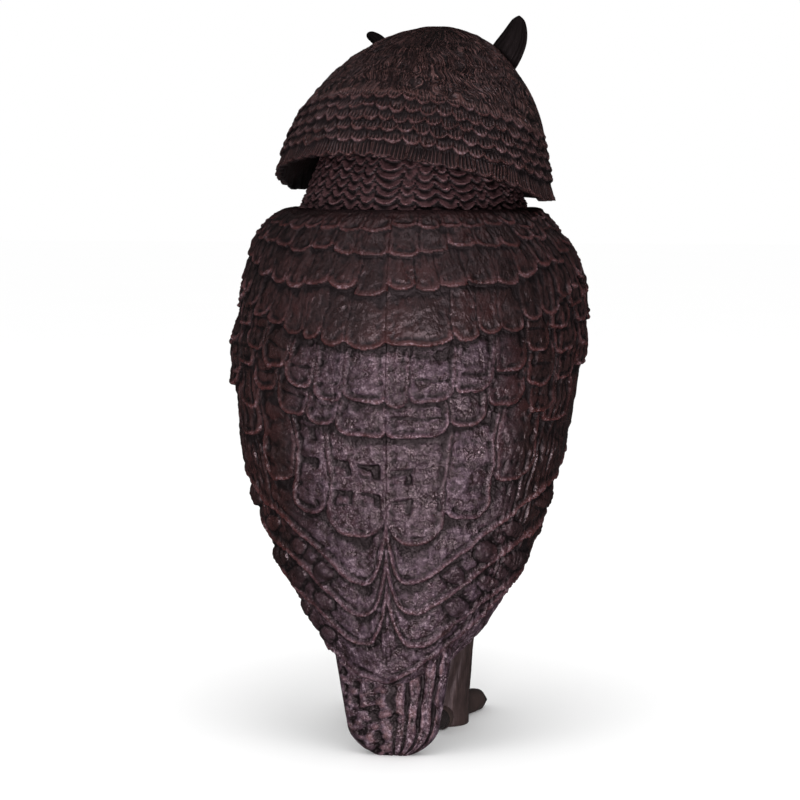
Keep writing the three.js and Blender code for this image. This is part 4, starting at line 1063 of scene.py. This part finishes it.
def head_shell(name, columns, start_degrees, end_degrees):
    """Part of the shell, outside and inside, between two angles counted round from the nape."""
    rows, inner_rows = 190, 12
    turn = np.radians(np.linspace(start_degrees, end_degrees, columns))
    round_turn = np.where(turn > pi, turn - TURN, turn)
    climb = np.sin((1 - np.arange(rows) / (rows - 1)) * pi / 2) * NEAR_TOP
    angle, h = head_grid(round_turn, climb, CROWN_H)
    spots = head_point(angle, h, 0)
    wander = 0.7 * lumps(spots, 24, 21) / RIM_R
    slip = 0.8 * lumps(spots, 20, 22)
    relief = scallops(angle + wander, h + slip + 0.3 * lumps(spots, 8, 23))
    # The hair of the crown is combed outwards and down, in curls.
    round_way = angle * 0.8 * RIM_R
    lean = round_way + 0.42 * h * np.tanh(round_way / 40)
    hair_across = lean + 4.5 * lumps(spots, 34, 24) + 1.9 * lumps(spots, 13, 28)
    hair_along = 1.15 * h + 4.0 * lumps(spots, 16, 29)
    combed = strokes(hair_across, hair_along, 1.8, 7.0, 25)
    relief.height += relief.furry * 0.34 * combed + 0.22 * lumps(spots, 15, 26)
    # Discs round the eyes, with fine rays and brows that rise to the ears
    aside, distance, face, dish = face_disc(angle, h)
    rays = 0.35 * np.cos(np.arctan2(h - DISC_H, aside) * 34)
    rays = rays * clamp01((distance - 8) / 8) * clamp01((DISC_R - distance) / 4)
    out = (pi - np.abs(angle)) * FACE_R
    brow = 3.2 * bell(h - (66 + 0.5 * out), 4.5) * clamp01(1 - out / 62)
    face_height = (2.4 * bell(distance - DISC_R, 3) + brow + rays) * clamp01(h / 8)
    height = relief.height * (1 - face) + face_height * face + dish
    outer = raised_head(angle, h, 0, height)
    inner_climb = np.sin(np.linspace(0.0, 1, inner_rows) * pi / 2) * NEAR_TOP
    inner_angle, inner_h = head_grid(round_turn, inner_climb, CROWN_H - WALL)
    inner = raised_head(inner_angle, inner_h, WALL, face_disc(inner_angle, inner_h)[-1])
    points = placed(np.concatenate([outer, inner]).reshape(-1, 3))
    faces = [grid_faces(rows + inner_rows, columns)]
    values = carried(relief, height)
    # Less painted shade on the face.
    values["deep"] = values["deep"] * (1 - 0.7 * face)
    values["comb"] = relief.comb
    for key in ("rim", "band", "comb"):
        values[key] = values[key] * (1 - face)
    values["furry"] = np.maximum(relief.furry, face)
    values["hair_across"] = hair_across
    values["hair_along"] = hair_along
    # The inside of the shell gets painted shade.
    inside = {"deep": 0.6, "up": FAR}
    for key, grid in values.items():
        values[key] = np.concatenate([grid, np.full(inner.shape[:2], inside.get(key, 0.0))])
    make_mesh(name, points, faces, values, HEAD, HEAD_PAINT)


head_shell("head_back", 440, -104, 104)
head_shell("head_face", 180, 104, 256)


def out_of_hollow(points):
    """Moves what would show inside the hollow out into the shell's wall."""
    h = points[:, 2]
    forward = head_forward(h)
    limit = head_radius(h, WALL / 2)
    x, y = points[:, 0], points[:, 1] - forward
    r = np.maximum(np.hypot(x, y), 1e-6)
    grow = np.where(r < limit, limit / r, 1)
    points[:, 0], points[:, 1] = x * grow, y * grow + forward
    return points


def ear(side, word, length, lean_degrees, bowed, root_radius, tip_radius, depth_share):
    sides, rings, rounded = 96, 70, 8
    lean = radians(lean_degrees)
    foot = Vector(head_point(side * radians(EAR_ROUND_DEG), EAR_UP * CROWN_H, EAR_ROOT))
    along = Vector((side * sin(lean), 0.06, cos(lean)))
    bow = Vector((side * cos(lean), 0, -sin(lean))) * bowed

    def tufts(a, t):
        broad = 0.05 * cos(7 * a) * sin(t * pi)
        return broad + 0.03 * cos(16 * a + 2 * t) - 0.05

    points, faces = taper(
        lambda t: foot + along * ((1 - t) * length) + bow * sin(t * pi),
        lambda t: tip_radius + (root_radius - tip_radius) * (1 - (1 - t) ** 1.7) ** 0.6,
        sides, rings, depth_share, tufts,
    )
    # The first rings are drawn in, so that the tip is round.
    for r in range(rounded):
        share = sqrt(1 - (1 - r / rounded) ** 2) * 0.98 + 0.02
        ring = points[r * sides : (r + 1) * sides]
        middle = ring.mean(axis=0)
        points[r * sides : (r + 1) * sides] = middle + (ring - middle) * share
    make_mesh(word + "_ear", placed(out_of_hollow(points)), faces, {}, HEAD, EAR_PAINT)


ear(1, "right", *RIGHT_EAR)
ear(-1, "left", *LEFT_EAR)


def eye_paint():
    """Painted eye: black pupil, amber iris with fine rays, dark ring, under a clear gloss."""
    p = Paint("eyes")
    away, turn = p.attribute("away"), p.attribute("turn")
    rays = p.noise(p.vector(p.times(turn, 9.0), p.times(away, 0.12)), 3.0, 3.0, 0.6)
    iris = p.blend(p.scaled(rays, 0.35, 0.65), (0.62, 0.27, 0.02), (0.85, 0.50, 0.05))
    ringed = p.blend(p.scaled(away, 8.3, 9.0), iris, (0.01, 0.008, 0.008))
    whole = p.blend(p.scaled(away, 4.6, 4.2), ringed, (0.004, 0.004, 0.004))
    roughness = p.scaled(rays, 0.3, 0.7, 0.10, 0.18)
    return p.surface(whole, roughness, p.bump(rays, 0.0001, 0.3), tint=WHITE)


EYE_PAINT = eye_paint()


def eye(side, word):
    rings, sides = 48, 72
    angle = pi - side * radians(EYE_OUT_DEG)
    spot = head_point(angle, EYE_H, EYE_R * 0.85)
    ahead = np.array([sin(angle), -cos(angle), 0.12])
    ahead /= np.linalg.norm(ahead)
    aside = np.cross(ahead, [0, 0, 1])
    aside /= np.linalg.norm(aside)
    up = np.cross(aside, ahead)
    turn = np.linspace(0, TURN, sides, endpoint=False)
    polar, turn = np.meshgrid(np.linspace(0, pi, rings), turn, indexing="ij")
    flat = EYE_R * np.sin(polar)
    ways = ((ahead, EYE_R * np.cos(polar)), (aside, flat * np.cos(turn)), (up, flat * np.sin(turn)))
    points = spot
    for way, far in ways:
        points = points + way * far[..., None]
    away = np.where(polar < pi / 2, flat, 2 * EYE_R - flat)
    points = placed(out_of_hollow(points.reshape(-1, 3)))
    values = {"away": away, "turn": np.abs(turn - pi)}
    faces = [grid_faces(rings, sides, wraps=True)]
    make_mesh(word + "_eye", points, faces, values, HEAD, EYE_PAINT)


eye(-1, "left")
eye(1, "right")


def beak():
    root = Vector(head_point(pi, BEAK_H + 6, 3))

    def ridge(t):
        ahead = root.y + BEAK_REACH * sin(t * 2.2)
        return Vector((0, ahead, root.z - BEAK_LENGTH * t**1.3))

    points, faces = taper(
        ridge,
        lambda t: BEAK_R * max(0.0, 1.02 - t) ** 0.6 + 0.4,
        64, 48, wobble=lambda a, t: 0.05 * cos(a * 2) * (1 - t) - 0.03,
    )
    make_mesh("beak", placed(out_of_hollow(points)), faces, {}, HEAD, BEAK_PAINT)


beak()


def socket():
    """The upright socket under the crown that turns on the neck's peg."""
    columns, depth, edge = 72, 22, 0.8
    floor = NECK_TOP_Z + PEG_LENGTH + SEAT_GAP
    mouth = floor - depth
    bore = PEG_R + PEG_GAP
    crown = float(head_point(0, CROWN_H * 0.95, WALL)[2]) + RIM_Z
    profile = [(0.01, floor), (bore, floor), (bore, mouth + 1), (bore + edge, mouth)]
    profile += [(BOSS_R - edge, mouth), (BOSS_R, mouth + 1), (BOSS_R, crown)]
    points = about_axis(*turned_grid(profile, columns))
    # The upper end climbs by millimetres until it meets the inside of the crown.
    own = moved(points[-1], HEAD_PLACE.inverted())
    own[:, 2] = 60.0
    for _ in range(40):
        out = np.hypot(own[:, 0], own[:, 1] - head_forward(own[:, 2]))
        own[:, 2] += np.where(out < head_radius(own[:, 2], WALL * 0.6), 1.0, 0.0)
    points[-1, :, 2] = placed(own)[:, 2]
    faces = [grid_faces(len(profile), columns, wraps=True)[:, ::-1]]
    make_mesh("socket", points, faces, {}, HEAD, SOCKET_PAINT)


socket()

# Floor, world, lights and camera

def pale_floor():
    p = Paint("floor")
    shade = p.blend(p.noise(p.place(), 3.0), (0.985, 0.985, 0.985), (0.995, 0.995, 0.995))
    p.feed(p.shader.inputs["Base Color"], shade)
    p.shader.inputs["Roughness"].default_value = 0.9
    p.shader.inputs["Specular IOR Level"].default_value = 0.0
    mesh = bpy.data.meshes.new("floor")
    mesh.from_pydata([(-9, -9, 0), (9, -9, 0), (9, 9, 0), (-9, 9, 0)], [], [(0, 1, 2, 3)])
    mesh.materials.append(p.material)
    made = add_object("floor", mesh)
    made.visible_glossy = False


def studio():
    """White all round. What gloss reflects of it is dim, as in a dark room, so that the dark
    plastic isn't washed out and only the lamps glint."""
    world = bpy.data.worlds.new("studio")
    world.use_nodes = True
    tree = world.node_tree
    background = tree.nodes["Background"]
    background.inputs["Color"].default_value = WHITE
    path = tree.nodes.new("ShaderNodeLightPath")
    strength = tree.nodes.new("ShaderNodeMapRange")
    strength.inputs["To Min"].default_value = 1.0
    strength.inputs["To Max"].default_value = GLOSSY_WORLD
    tree.links.new(path.outputs["Is Glossy Ray"], strength.inputs["Value"])
    tree.links.new(strength.outputs[0], background.inputs["Strength"])
    bpy.context.scene.world = world
    bpy.context.scene.view_settings.view_transform = "Standard"


def lamp(name, place, target, size, power):
    data = bpy.data.lights.new(name, "AREA")
    data.shape = "RECTANGLE"
    data.size, data.size_y = size
    data.energy = power
    made = add_object(name, data)
    made.location = place
    made.rotation_euler = (Vector(target) - Vector(place)).to_track_quat("-Z", "Y").to_euler()


pale_floor()
studio()
lamp("key", (0.14, -1.0, 0.06), (0, 0, 0.20), (0.20, 0.12), 8.8)
lamp("side", (-1.5, -1.2, 0.9), (0, 0, 0.22), (0.6, 0.9), 2.6)
lamp("top", (0.1, -0.45, 1.7), (0, 0, 0.42), (0.7, 0.5), 5)

# The camera that fits the photograph: angles in degrees, distance and height in metres, focal
# length and the body axis's place right of the middle in pixels
VIEW_DEG, PITCH_DEG, DISTANCE, EYE_HEIGHT = 8.5, 6.224, 1.3295, 0.355
PHOTO_WIDTH, FOCAL, ASIDE, SENSOR_MM = 800, 2109, 10.5, 36
camera_data = bpy.data.cameras.new("camera")
camera_data.sensor_width = SENSOR_MM
camera_data.lens = SENSOR_MM * FOCAL / PHOTO_WIDTH
camera = add_object("camera", camera_data)
view = radians(VIEW_DEG)
behind = OWL_Y / 1000 - DISTANCE * cos(view)
camera.location = (DISTANCE * sin(view), behind, EYE_HEIGHT)
camera.rotation_euler = (radians(90 - PITCH_DEG), 0, view + atan(ASIDE / FOCAL))
bpy.context.scene.camera = camera

bpy.context.view_layer.update()
